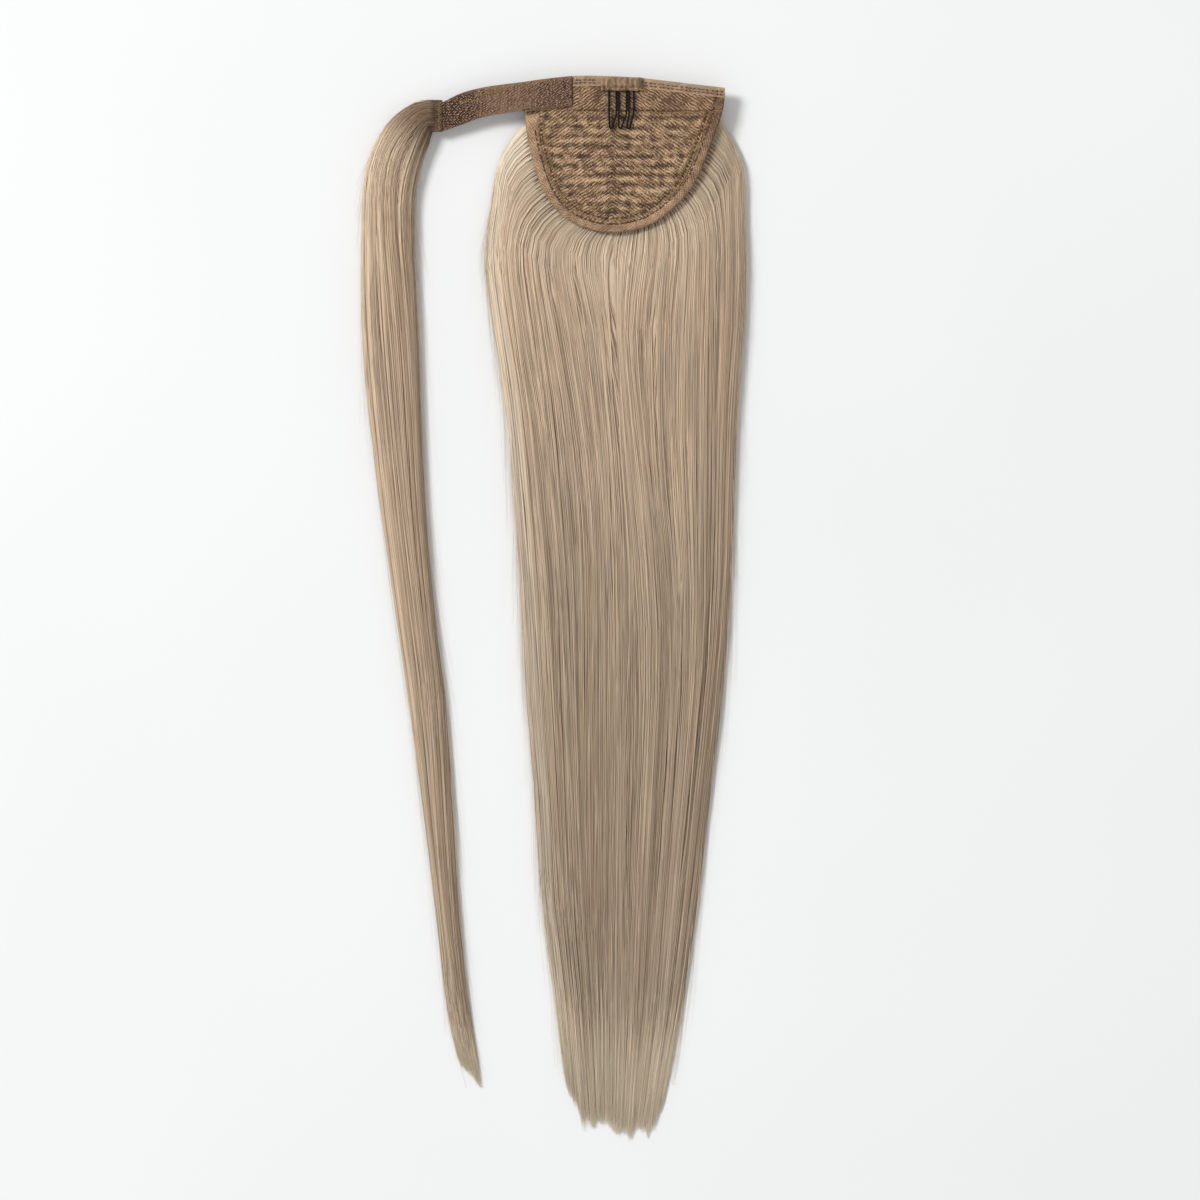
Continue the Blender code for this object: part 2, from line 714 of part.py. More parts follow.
def make_strand_head(parts, look):
    upper, lower = [], []
    for r in range(HEAD_ROWS + 1):
        down = HEAD_UPPER + (HEAD_LOWER - HEAD_UPPER) * r / HEAD_ROWS
        end = min(r, HEAD_ROWS - r) / HEAD_ROWS
        swell = 1 - HEAD_END_THIN * (1 - ease(end / HEAD_END_SHARE))
        middle = (HEAD_LOW + HEAD_TOP) / 2
        half = (HEAD_TOP - HEAD_LOW) / 2 * swell
        top_line, low_line = [], []
        across = [(HEAD_LEFT, HEAD_LEFT_SHARE), (HEAD_LEFT + HEAD_ROUNDING, 1.0)]
        across += [(HEAD_RIGHT - HEAD_ROUNDING, 1.0), (HEAD_RIGHT, HEAD_RIGHT_SHARE)]
        for x, share in across:
            top_line.append(place(x, down, middle + half * share))
            low_line.append(place(x, down, middle - half * share))
        upper.append(top_line)
        lower.append(low_line)
    thick_sheet("strand_head", upper, lower, parts, look)


def centre_parts(parts):
    """An empty carries every piece, so that the whole part is centred on the origin in plan."""
    bpy.context.view_layer.update()
    graph = bpy.context.evaluated_depsgraph_get()
    corners = []
    for item in parts.objects:
        shape = item.evaluated_get(graph).to_mesh()
        spots = np.empty(len(shape.vertices) * 3)
        shape.vertices.foreach_get("co", spots)
        corners.append(spots.reshape(-1, 3))
        item.evaluated_get(graph).to_mesh_clear()
    spots = np.concatenate(corners)
    middle = (spots.min(axis=0) + spots.max(axis=0)) / 2
    carrier = bpy.data.objects.new("placement", None)
    parts.objects.link(carrier)
    for collection in bpy.context.scene.collection.children:
        for item in collection.objects:
            if item is not carrier:
                item.parent = carrier
    carrier.location = (-middle[0], -middle[1], 0.0)


def main():
    parts, cutters = start_scene()
    hair = material("ash blonde hair", (0.40, 0.31, 0.22), 0.45)
    strand_hair = material("ash blonde strand", (0.42, 0.33, 0.23), 0.45)
    twill = material("brown ribbed twill", (0.25, 0.15, 0.09), 0.85)
    smooth_twill = material("brown smooth twill", (0.23, 0.14, 0.09), 0.8)
    bias = material("bias tape", (0.22, 0.14, 0.09), 0.75)
    top_tape = material("top tape", (0.29, 0.2, 0.13), 0.75)
    casing_tape = material("casing tape", (0.26, 0.17, 0.1), 0.75)
    hooks = material("hook tape", (0.2, 0.12, 0.08), 0.6)
    weft = material("weft edge", (0.24, 0.16, 0.08), 0.8)
    steel = material("black wire", (0.015, 0.014, 0.013), 0.35)
    make_hair_fall(parts, hair)
    make_panel(parts, twill)
    make_band(parts, smooth_twill)
    make_bindings(parts, bias, top_tape)
    make_casing(parts, cutters, casing_tape)
    make_comb(parts, cutters, steel)
    make_strap(parts, hooks)
    make_strand_head(parts, weft)
    make_wrap_strand(parts, strand_hair)
    centre_parts(parts)


main()
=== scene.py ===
import json
import math

import bpy
import numpy as np
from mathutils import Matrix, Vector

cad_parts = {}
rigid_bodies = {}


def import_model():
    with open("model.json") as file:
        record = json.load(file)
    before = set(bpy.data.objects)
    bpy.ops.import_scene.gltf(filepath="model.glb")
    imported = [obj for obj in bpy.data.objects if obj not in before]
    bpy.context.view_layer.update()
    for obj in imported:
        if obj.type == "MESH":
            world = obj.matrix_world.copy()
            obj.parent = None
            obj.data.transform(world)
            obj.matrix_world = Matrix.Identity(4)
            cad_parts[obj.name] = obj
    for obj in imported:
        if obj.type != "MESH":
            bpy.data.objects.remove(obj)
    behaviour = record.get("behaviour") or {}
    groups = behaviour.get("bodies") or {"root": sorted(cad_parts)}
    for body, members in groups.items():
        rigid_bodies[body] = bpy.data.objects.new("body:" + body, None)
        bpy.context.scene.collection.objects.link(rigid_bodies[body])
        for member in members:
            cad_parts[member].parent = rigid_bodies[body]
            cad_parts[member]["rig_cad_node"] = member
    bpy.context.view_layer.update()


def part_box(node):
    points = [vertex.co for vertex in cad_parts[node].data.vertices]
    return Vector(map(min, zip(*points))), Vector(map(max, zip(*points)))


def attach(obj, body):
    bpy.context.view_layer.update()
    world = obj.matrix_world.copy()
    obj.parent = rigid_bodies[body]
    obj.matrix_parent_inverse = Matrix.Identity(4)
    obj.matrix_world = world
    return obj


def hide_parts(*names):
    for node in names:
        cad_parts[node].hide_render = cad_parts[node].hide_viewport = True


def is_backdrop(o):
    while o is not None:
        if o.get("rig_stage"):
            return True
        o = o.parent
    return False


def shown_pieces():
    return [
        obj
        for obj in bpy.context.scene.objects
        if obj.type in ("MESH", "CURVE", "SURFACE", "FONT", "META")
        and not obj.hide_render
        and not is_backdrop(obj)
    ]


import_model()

mm = 0.001

# drawing sizes are millimetres: x from the base's middle line, down from the base's top edge
bandLeft = -20.6
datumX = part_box("upper_band")[0][0] - bandLeft * mm
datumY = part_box("wrap_strap")[1][1]


def place(x, down, up):
    # millimetres to points in metres, for arrays of any shape
    return np.stack(np.broadcast_arrays(datumX + np.asarray(x) * mm, datumY - np.asarray(down) * mm,
                                        np.asarray(up) * mm), axis=-1)


def table(names, rows):
    grid = np.array(rows, dtype=float)
    return {name: grid[:, i] for i, name in enumerate(names.split())}


def read(rows, column, at):
    # smooth curve through a table's column, for arrays too
    stations = next(iter(rows.values()))
    values = rows[column]
    slopes = np.gradient(values, stations)
    at = np.clip(np.asarray(at, dtype=float), stations[0], stations[-1])
    i = np.clip(np.searchsorted(stations, at) - 1, 0, len(stations) - 2)
    span = stations[i + 1] - stations[i]
    t = (at - stations[i]) / span
    first = (1 + 2 * t) * (1 - t) ** 2 * values[i] + t * (1 - t) ** 2 * span * slopes[i]
    return first + t * t * (3 - 2 * t) * values[i + 1] - t * t * (1 - t) * span * slopes[i + 1]


def ease(t):
    t = np.clip(t, 0.0, 1.0)
    return t * t * (3 - 2 * t)


def cloudNoise(x, y, seed):
    # smooth value noise from -1 to 1, one cell per unit
    cells = np.random.default_rng(seed).uniform(-1, 1, (256, 256))
    x, y = np.broadcast_arrays(np.asarray(x, dtype=float), np.asarray(y, dtype=float))
    ix, iy = np.floor(x).astype(int), np.floor(y).astype(int)
    fx, fy = ease(x - ix), ease(y - iy)
    corner = [cells[(ix + a) % 256, (iy + b) % 256] for a, b in ((0, 0), (1, 0), (0, 1), (1, 1))]
    return (corner[0] * (1 - fx) + corner[1] * fx) * (1 - fy) + (corner[2] * (1 - fx) + corner[3] * fx) * fy


# outline and height of the base, the same as the frame's
edgeRows = table("stop x down fold", [
    (0, -44.5, 19.6, 7.5), (1, -42.6, 34.0, 6.0), (2, -36.6, 54.0, 4.2), (3, -27.0, 68.5, 3.6),
    (4, -13.5, 76.0, 3.8), (5, 1.5, 78.0, 4.0), (6, 17.8, 74.2, 4.2), (7, 31.0, 64.7, 4.6),
    (8, 41.0, 52.0, 5.2), (9, 48.7, 33.5, 5.6), (10, 54.0, 17.8, 4.6), (11, 55.0, 12.2, 4.4),
])
topRows = table("x down", [
    (-44, 4), (-21.8, 0), (-3, -0.1), (10.5, 0.6), (23.8, 2), (37, 3.6), (55.4, 5.75),
])
base = {"underside": 9.6, "dome": 1.1, "halfWidth": 56.0, "flatDown": 18.0, "depth": 78.0, "droop": 0.8,
        "cloth": 1.3, "tape": 1.0, "gap": 0.3, "layerLow": 1.6, "layerTop": 2.6}


def pathAt(rows, stop, gap):
    # place on a table's path, the way it runs there and the length of that step
    last = rows["stop"][-1]
    before, after = np.clip(stop - gap, 0, last), np.clip(stop + gap, 0, last)
    runX, runDown = (read(rows, name, after) - read(rows, name, before) for name in ("x", "down"))
    return read(rows, "x", stop), read(rows, "down", stop), runX, runDown, np.hypot(runX, runDown)


def edgePoint(stop, inset=0.0):
    x, down, runX, runDown, length = pathAt(edgeRows, stop, 0.02)
    return x + inset * runDown / length, down - inset * runX / length


def baseHeight(x, down):
    t = np.clip((down - base["flatDown"]) / (base["depth"] - base["flatDown"]), 0, 1)
    crown = base["dome"] * np.sin(np.pi * t) * (1 - (x / base["halfWidth"]) ** 2)
    return base["underside"] + crown - base["droop"] * t * t


# mesh helpers
def buildMesh(name, points, faces, mat, uvs=None, uvName="weave"):
    # faces is a list of index arrays with 3 or 4 columns; uvs follows their corners
    mesh = bpy.data.meshes.new(name)
    points = np.asarray(points, dtype=np.float32).reshape(-1, 3)
    mesh.vertices.add(len(points))
    mesh.vertices.foreach_set("co", points.ravel())
    corners = np.concatenate([f.ravel() for f in faces]).astype(np.int32)
    sizes = np.concatenate([np.full(len(f), f.shape[1]) for f in faces])
    mesh.loops.add(len(corners))
    mesh.loops.foreach_set("vertex_index", corners)
    mesh.polygons.add(len(sizes))
    mesh.polygons.foreach_set("loop_start", np.concatenate(([0], np.cumsum(sizes)[:-1])).astype(np.int32))
    mesh.polygons.foreach_set("use_smooth", np.ones(len(sizes), dtype=bool))
    if uvs is not None:
        layer = mesh.uv_layers.new(name=uvName)
        layer.data.foreach_set("uv", np.asarray(uvs, dtype=np.float32).ravel())
    mesh.update(calc_edges=True)
    mesh.materials.append(mat)
    piece = bpy.data.objects.new(name, mesh)
    bpy.context.scene.collection.objects.link(piece)
    return piece


def gridFaces(rows, columns, start=0, flip=False):
    r, c = np.meshgrid(np.arange(rows - 1), np.arange(columns - 1), indexing="ij")
    a = start + r * columns + c
    quads = np.stack([a, a + columns, a + columns + 1, a + 1], axis=-1).reshape(-1, 4)
    return quads[:, ::-1] if flip else quads


def rimOf(rows, columns):
    # the border's vertices in order round the grid
    r, c = np.arange(rows), np.arange(columns)
    left, bottom = r[:-1] * columns, (rows - 1) * columns + c[:-1]
    right, top = (rows - r[:-1]) * columns - 1, columns - 1 - c[:-1]
    return np.concatenate([left, bottom, right, top])


def closedSheet(name, upper, lower, mat, uv):
    # upper and lower are grids of points with the same shape, rows running down the picture
    rows, columns = upper.shape[:2]
    count = rows * columns
    points = np.concatenate([upper.reshape(-1, 3), lower.reshape(-1, 3)])
    rim = rimOf(rows, columns)
    side = np.stack([rim, rim + count, np.roll(rim, -1) + count, np.roll(rim, -1)], axis=-1)
    faces = [gridFaces(rows, columns), gridFaces(rows, columns, count, True), side]
    flat = np.concatenate([uv.reshape(-1, 2)] * 2)
    return buildMesh(name, points, faces, mat, np.concatenate([flat[f.ravel()] for f in faces]))


def finishPiece(piece, slotName, *nodes):
    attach(piece, "root")
    if nodes:
        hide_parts(*nodes)
    print("piece", piece.name, len(piece.data.polygons), "faces")
    return piece


def triCount():
    own = [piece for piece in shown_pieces() if "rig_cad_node" not in piece]
    return sum(len(face.vertices) - 2 for piece in own for face in piece.data.polygons)


# node helpers
def addNode(tree, kind, **settings):
    # nodes are laid out in rows, in the order they are made
    order = len(tree.nodes)
    node = tree.nodes.new(kind)
    node.location = (240 * (order % 6) - 900, 400 - 300 * (order // 6))
    for key, value in settings.items():
        setattr(node, key, value)
    return node


def feed(tree, socket, value):
    # a socket takes another node's output or a plain value
    if hasattr(value, "is_output"):
        tree.links.new(value, socket)
    elif value is not None:
        socket.default_value = value


def mathNode(tree, operation, a, b=None):
    node = addNode(tree, "ShaderNodeMath", operation=operation)
    feed(tree, node.inputs[0], a)
    feed(tree, node.inputs[1], b)
    return node.outputs[0]


def vectorNode(tree, operation, a, b):
    node = addNode(tree, "ShaderNodeVectorMath", operation=operation)
    feed(tree, node.inputs[0], a)
    feed(tree, node.inputs["Scale"] if operation == "SCALE" else node.inputs[1], b)
    return node.outputs[0]


def splitVector(tree, vector):
    node = addNode(tree, "ShaderNodeSeparateXYZ")
    tree.links.new(vector, node.inputs[0])
    return node.outputs["X"], node.outputs["Y"]


def noiseNode(tree, vector, scale, detail, roughness=None):
    node = addNode(tree, "ShaderNodeTexNoise")
    values = {"Vector": vector, "Scale": scale, "Detail": detail, "Roughness": roughness}
    for name, value in values.items():
        feed(tree, node.inputs[name], value)
    return node.outputs


def rangeNode(tree, value, fromMin, fromMax, toMax=1.0, smooth=False):
    node = addNode(tree, "ShaderNodeMapRange", interpolation_type="SMOOTHSTEP" if smooth else "LINEAR")
    for name, amount in (("Value", value), ("From Min", fromMin), ("From Max", fromMax), ("To Max", toMax)):
        feed(tree, node.inputs[name], amount)
    return node.outputs[0]


def rampNode(tree, value, stops):
    node = addNode(tree, "ShaderNodeValToRGB")
    elements = node.color_ramp.elements
    while len(elements) < len(stops):
        elements.new(0.5)
    for element, (position, colour) in zip(elements, stops):
        element.position = position
        element.color = (*srgb(colour), 1.0)
    tree.links.new(value, node.inputs["Fac"])
    return node.outputs["Color"]


def mixColour(tree, fac, a, b, blend="MIX"):
    node = addNode(tree, "ShaderNodeMix", data_type="RGBA", blend_type=blend)
    sockets = {socket.identifier: socket for socket in node.inputs}
    feed(tree, sockets["Factor_Float"], fac)
    feed(tree, sockets["A_Color"], colourOf(a))
    feed(tree, sockets["B_Color"], colourOf(b))
    return next(socket for socket in node.outputs if socket.identifier == "Result_Color")


def srgb(colour):
    # 0-255 picture values to scene linear
    c = np.array(colour, dtype=float) / 255
    return tuple(np.where(c <= 0.04045, c / 12.92, ((c + 0.055) / 1.055) ** 2.4))


def colourOf(value):
    # picture values become a socket's colour, and a node's output stays as it is
    return (*srgb(value), 1.0) if isinstance(value, tuple) else value


def newGroup(name, inputs, outputs):
    group = bpy.data.node_groups.new(name, "ShaderNodeTree")
    for label, kind, value in inputs:
        socket = group.interface.new_socket(name=label, in_out="INPUT", socket_type="NodeSocket" + kind)
        if value is not None:
            socket.default_value = value
    for label, kind in outputs:
        group.interface.new_socket(name=label, in_out="OUTPUT", socket_type="NodeSocket" + kind)
    start = addNode(group, "NodeGroupInput")
    end = addNode(group, "NodeGroupOutput")
    return group, start.outputs, end.inputs


def newMaterial(name, **constants):
    mat = bpy.data.materials.new(name)
    mat.use_nodes = True
    tree = mat.node_tree
    tree.nodes.clear()
    out = addNode(tree, "ShaderNodeOutputMaterial")
    shader = addNode(tree, "ShaderNodeBsdfPrincipled")
    tree.links.new(shader.outputs[0], out.inputs["Surface"])
    for key, value in constants.items():
        shader.inputs[key.replace("_", " ")].default_value = value
    return mat, tree, shader


def useGroup(tree, group, **values):
    node = addNode(tree, "ShaderNodeGroup")
    node.node_tree = group
    for key, value in values.items():
        feed(tree, node.inputs[key.replace("_", " ")], colourOf(value))
    return node.outputs


def addBump(tree, shader, height, distance, strength=1.0):
    bump = addNode(tree, "ShaderNodeBump")
    for name, value in (("Distance", distance), ("Strength", strength), ("Height", height)):
        feed(tree, bump.inputs[name], value)
    tree.links.new(bump.outputs[0], shader.inputs["Normal"])


# shared effects
def makeHairStreaks():
    # colour from the strand's own tint (0 dark, 1 light), which carries painted highlight and shade across
    # the hair, and from the place along it, lighter at the roots and darker towards the ends, partly dye and
    # partly painted shade
    group, inside, result = newGroup("hair streaks", [
        ("Tint", "Float", 0.5), ("Length", "Float", 0.0), ("Vector", "Vector", None),
        ("Root", "Color", (0.4, 0.3, 0.2, 1)), ("Reach", "Float", 0.05),
    ], [("Color", "Color"), ("Roughness", "Float"), ("Height", "Float")])
    tone = rampNode(group, inside["Tint"], [
        (0.0, (132, 108, 87)), (0.16, (172, 148, 124)), (0.34, (206, 184, 159)), (0.52, (226, 206, 181)),
        (0.72, (241, 222, 198)), (0.9, (251, 237, 216)), (1.0, (255, 246, 230)),
    ])
    # along the length: lightest at the roots and darker towards the ends, partly dye and partly painted
    # highlight and shade
    length = rampNode(group, inside["Length"], [
        (0.0, (253, 254, 255)), (0.12, (254, 255, 255)), (0.3, (244, 241, 238)), (0.46, (235, 231, 228)),
        (0.58, (228, 224, 221)), (0.7, (214, 210, 207)), (0.82, (206, 203, 200)), (0.93, (198, 195, 192)),
    ])
    streak = noiseNode(group, inside["Vector"], 1.0, 3.0)["Fac"]
    warm = rampNode(group, streak, [
        (0.3, (226, 226, 228)), (0.5, (249, 247, 244)), (0.7, (255, 245, 230)),
    ])
    toned = mixColour(group, 1.0, tone, length, "MULTIPLY")
    toned = mixColour(group, 1.0, toned, warm, "MULTIPLY")
    # painted shade at the roots: the first part of each strand is multiplied by the root colour
    shaded = mixColour(group, 1.0, toned, inside["Root"], "MULTIPLY")
    clear = rangeNode(group, inside["Length"], 0.0, inside["Reach"], smooth=True)
    group.links.new(mixColour(group, clear, shaded, toned), result["Color"])
    rough = mathNode(group, "MULTIPLY", streak, 0.25)
    group.links.new(mathNode(group, "ADD", rough, 0.32), result["Roughness"])
    group.links.new(streak, result["Height"])
    return group


def makeTwillWeave():
    # diagonal yarns over a finer cross thread, in millimetres; the slant turns round at the middle line
    group, inside, result = newGroup("twill weave", [
        ("Vector", "Vector", None), ("Pitch", "Float", 2.8), ("Slope", "Float", -1.43),
        ("Thread", "Float", 1.3), ("Contrast", "Float", 0.3), ("Speck", "Float", 1.2),
        ("Relief", "Float", 0.5), ("Dark", "Color", (0.1, 0.07, 0.04, 1)),
        ("Mid", "Color", (0.2, 0.15, 0.1, 1)), ("Light", "Color", (0.4, 0.3, 0.2, 1)),
    ], [("Color", "Color"), ("Height", "Float"), ("Wear", "Float")])

    def stripes(at, pitch):
        turns = mathNode(group, "DIVIDE", at, pitch)
        return mathNode(group, "SINE", mathNode(group, "MULTIPLY", turns, 2 * math.pi))

    def offMiddle(value, share):
        return mathNode(group, "MULTIPLY", mathNode(group, "SUBTRACT", value, 0.5), share)

    cloud = noiseNode(group, inside["Vector"], 0.22, 3.0)
    bend = vectorNode(group, "SCALE", cloud["Color"], 2.2)
    x, y = splitVector(group, vectorNode(group, "ADD", inside["Vector"], bend))
    mirrored = mathNode(group, "ABSOLUTE", x)
    slant = mathNode(group, "MULTIPLY", y, inside["Slope"])
    yarn = stripes(mathNode(group, "ADD", mirrored, slant), inside["Pitch"])
    thread = stripes(mathNode(group, "ADD", x, y), inside["Thread"])
    # patches where the yarns stand out break them into dashes
    patch = noiseNode(group, inside["Vector"], 0.45, 2.0)["Fac"]
    dashes = mathNode(group, "MULTIPLY", yarn, rangeNode(group, patch, 0.36, 0.62, 1.5))
    height = mathNode(group, "MULTIPLY", dashes, inside["Contrast"])
    height = mathNode(group, "ADD", height, mathNode(group, "MULTIPLY", thread, 0.16))
    fine = noiseNode(group, inside["Vector"], 1.1, 5.0, 0.72)["Fac"]
    height = mathNode(group, "ADD", height, offMiddle(fine, inside["Speck"]))
    height = mathNode(group, "ADD", height, 0.5)
    # tone: the weave's height, painted shade in the cloth's hollows and painted light on its raised parts
    # from the piece's tone input, and broad clouds
    shade = mathNode(group, "ADD", height, offMiddle(inside["Relief"], 1.1))
    shade = mathNode(group, "ADD", shade, offMiddle(cloud["Fac"], 0.9))
    clamp = addNode(group, "ShaderNodeClamp")
    group.links.new(shade, clamp.inputs["Value"])
    lowShare = rangeNode(group, clamp.outputs[0], 0.0, 0.5)
    highShare = rangeNode(group, clamp.outputs[0], 0.5, 1.0)
    low = mixColour(group, lowShare, inside["Dark"], inside["Mid"])
    group.links.new(mixColour(group, highShare, low, inside["Light"]), result["Color"])
    group.links.new(height, result["Height"])
    group.links.new(cloud["Fac"], result["Wear"])
    return group


hairStreaks = makeHairStreaks()
twillWeave = makeTwillWeave()


def metricUv(tree, name="weave"):
    return addNode(tree, "ShaderNodeUVMap", uv_map=name).outputs[0]


def hairMaterial(name, look):
    mat, tree, shader = newMaterial(name, Anisotropic=0.55, Specular_IOR_Level=0.35, Sheen_Weight=0.06)
    uv = metricUv(tree, look["map"])
    tint, along = splitVector(tree, uv)
    if look["map"] == "hair":
        # the body under the strands has fine streaks in place of a tint for each strand
        thin = vectorNode(tree, "MULTIPLY", uv, look["fineStreaks"])
        fine = noiseNode(tree, thin, 1.0, 2.0)["Fac"]
        tint = mathNode(tree, "ADD", mathNode(tree, "MULTIPLY", fine, 0.6), 0.14)
    length = mathNode(tree, "POWER", along, look["lengthPower"])
    length = mathNode(tree, "MULTIPLY", length, look["lengthShare"])
    stretched = vectorNode(tree, "MULTIPLY", uv, look["streaks"])
    streaks = useGroup(tree, hairStreaks, Tint=tint, Length=length, Vector=stretched,
                       Root=look["root"], Reach=look["rootReach"])
    # painted shade: the colour is mixed toward dark brown, so the body under the strands reads as deeper,
    # shaded hair
    colour = mixColour(tree, look["innerShade"], streaks["Color"], (70, 52, 38))
    # painted light: the thin ends are mixed toward pale cream, standing in for light that passes through them
    tip = rangeNode(tree, along, hairStyle["paleTip"], 1.0, smooth=True)
    tree.links.new(mixColour(tree, tip, colour, hairStyle["tipTone"]), shader.inputs["Base Color"])
    tree.links.new(streaks["Roughness"], shader.inputs["Roughness"])
    addBump(tree, shader, streaks["Height"], 0.0002, 0.5)
    return mat


def clothMaterial(name, style):
    # the cloth's tones, weave and depth come from its piece's dictionary
    mat, tree, shader = newMaterial(name, Sheen_Weight=0.12, Sheen_Roughness=0.6, Specular_IOR_Level=0.18)
    shadeAndTone = addNode(tree, "ShaderNodeAttribute", attribute_name="shadeAndTone").outputs["Fac"]
    dark, mid, light = style["tones"]
    weave = useGroup(tree, twillWeave, Vector=metricUv(tree), Relief=shadeAndTone, Dark=dark, Mid=mid,
                     Light=light, **style["weave"])
    tree.links.new(weave["Color"], shader.inputs["Base Color"])
    roughness = mathNode(tree, "MULTIPLY", weave["Wear"], 0.15)
    tree.links.new(mathNode(tree, "ADD", roughness, 0.82), shader.inputs["Roughness"])
    addBump(tree, shader, weave["Height"], style["bumpDepth"])
    return mat


def plainMaterial(name, low, high, scale, rough, **constants):
    # one colour that varies a little with a fine noise
    mat, tree, shader = newMaterial(name, **constants)
    coords = addNode(tree, "ShaderNodeTexCoord").outputs["Object"]
    noise = noiseNode(tree, coords, scale, 3.0)["Fac"]
    tree.links.new(rampNode(tree, noise, [(0.33, low), (0.68, high)]), shader.inputs["Base Color"])
    rougher = mathNode(tree, "MULTIPLY", noise, 0.25)
    tree.links.new(mathNode(tree, "ADD", rougher, rough), shader.inputs["Roughness"])
    addBump(tree, shader, noise, 0.00003)
    return mat


def paintRelief(piece, values):
    # values for the upper grid, mostly painted shade and light that follow the cloth's relief; the lower grid
    # is plain
    layer = piece.data.attributes.new("shadeAndTone", "FLOAT", "POINT")
    flat = np.full(len(piece.data.vertices), 0.5, dtype=np.float32)
    flat[:values.size] = np.clip(values, 0, 1).ravel()
    layer.data.foreach_set("value", flat)


def clothPiece(name, x, down, top, low, mat, tone, slotName, node):
    # a closed cloth over a grid of places, with its map in millimetres; its tone is painted into the colour,
    # mostly as shade of its relief
    x, down = np.broadcast_arrays(x, down)
    cloth = closedSheet(name, place(x, down, top), place(x, down, low), mat, np.stack([x, down], axis=-1))
    paintRelief(cloth, tone)
    return finishPiece(cloth, slotName, node)


# main hair
hairStyle = {
    "strands": 1400, "points": 20, "radius": (0.1, 0.25), "flatness": 0.4, "tufts": 92, "tuftPull": 0.35,
    "locks": 24, "lockSway": 0.014, "tuftSway": 0.0045, "strandSway": 0.006, "gather": 0.55,
    "gatherWidth": 0.14, "drift": 0.07, "middle": 0.488, "turnRun": 40.0, "turnPower": 5,
    "shortPartings": 22, "flyaways": 200, "wisps": 46, "tipShortness": 0.019, "bodyReach": 0.93,
    "layers": ((0.5, 1.5), (0.1, 0.9), (-0.3, 0.4)), "paleTip": 0.93, "tipTone": (255, 237, 208), "seed": 11,
    # tint from 0 dark to 1 light: middle, more at the left (golden dye and a painted highlight), less at the
    # right (painted shade), in bands and by strand
    "tint": 0.49, "tintLeftDyeAndHighlight": 0.32, "tintRightPaintedShade": 0.11, "tintBands": 0.13, "tintSpread": 0.085,
}
# root is the colour of the painted shade where the hair leaves the binding
strandLook = {"map": "OFBake", "innerShade": 0.0, "streaks": (90.0, 7.0, 1.0), "root": (168, 148, 130),
              "rootReach": 0.02, "lengthPower": 1.0, "lengthShare": 1.0}
# the body's root colour is painted shade too, and its colour is mixed a tenth of the way toward dark brown as
# painted shade
bodyLook = {"map": "hair", "innerShade": 0.1, "streaks": (260.0, 5.0, 1.0), "root": (120, 100, 84),
            "rootReach": 0.02, "lengthPower": 1.0, "lengthShare": 1.0, "fineStreaks": (430.0, 2.5, 1.0)}
# dark partings: place along the edge, start and end along the length, half width, lean
partingRows = [
    (0.488, 0.0, 0.26, 0.007, 0.0), (0.84, 0.42, 0.78, 0.011, -0.2), (0.40, 0.02, 0.16, 0.005, 0.1),
    (0.585, 0.05, 0.3, 0.005, 0.06), (0.70, 0.45, 0.72, 0.005, -0.03), (0.33, 0.02, 0.14, 0.006, 0.08),
    (0.79, 0.03, 0.17, 0.006, 0.03), (0.25, 0.3, 0.55, 0.004, 0.03), (0.52, 0.62, 0.9, 0.005, 0.0),
]
fallRows = table("down left right height", [
    (19, -46, 54.5, 7), (25, -50, 55.5, 7.5), (31, -53, 59, 8), (43, -58, 64, 9), (67, -61, 64.5, 10.5),
    (86, -64, 65.5, 11.8), (111, -62, 65, 12), (136, -58.5, 63.5, 11.2), (161, -55, 61.5, 10.4),
    (211, -50.5, 59.5, 9.2), (261, -47, 57.5, 8.4), (311, -44, 53.5, 7.6), (361, -39.5, 47.5, 6.8),
    (411, -36, 41.5, 6), (436, -33, 38, 5.4), (461, -29, 34.5, 4.6), (486, -26.5, 30.5, 3.6),
    (511, -23, 25, 2.4), (530, -20, 22, 1.4),
])
tipRows = table("across down", [
    (0, 503), (0.15, 515), (0.35, 527), (0.5, 530), (0.7, 529), (0.85, 521), (1, 508),
])
fallLocks, fallColumns = 11, 4


def lockColumns():
    # the frame's columns: edge point, place across, lock wave, lean and tip for each
    column = np.arange(fallLocks * fallColumns + 1)
    share = column / column[-1]
    across = share - 0.1 * np.sin(2 * np.pi * share)
    edgeX, edgeDown = edgePoint(0.25 + 9.75 * share)
    wave = np.sin(np.pi * (column % fallColumns) / fallColumns)
    lean = np.sin(2.4 * (column // fallColumns) + 0.7)
    tip = read(tipRows, "down", across) - 11.0 * (1 - wave) - 4.0 * wave * (1 - lean) / 2
    return {"share": share, "across": across, "edgeX": edgeX, "edgeDown": edgeDown, "wave": wave,
            "lean": lean, "tip": tip}


columnsOfHair = lockColumns()


def hairAt(name, share):
    return np.interp(share, columnsOfHair["share"], columnsOfHair[name])


def laneAt(across, down):
    left, right = read(fallRows, "left", down), read(fallRows, "right", down)
    return left + (right - left) * across


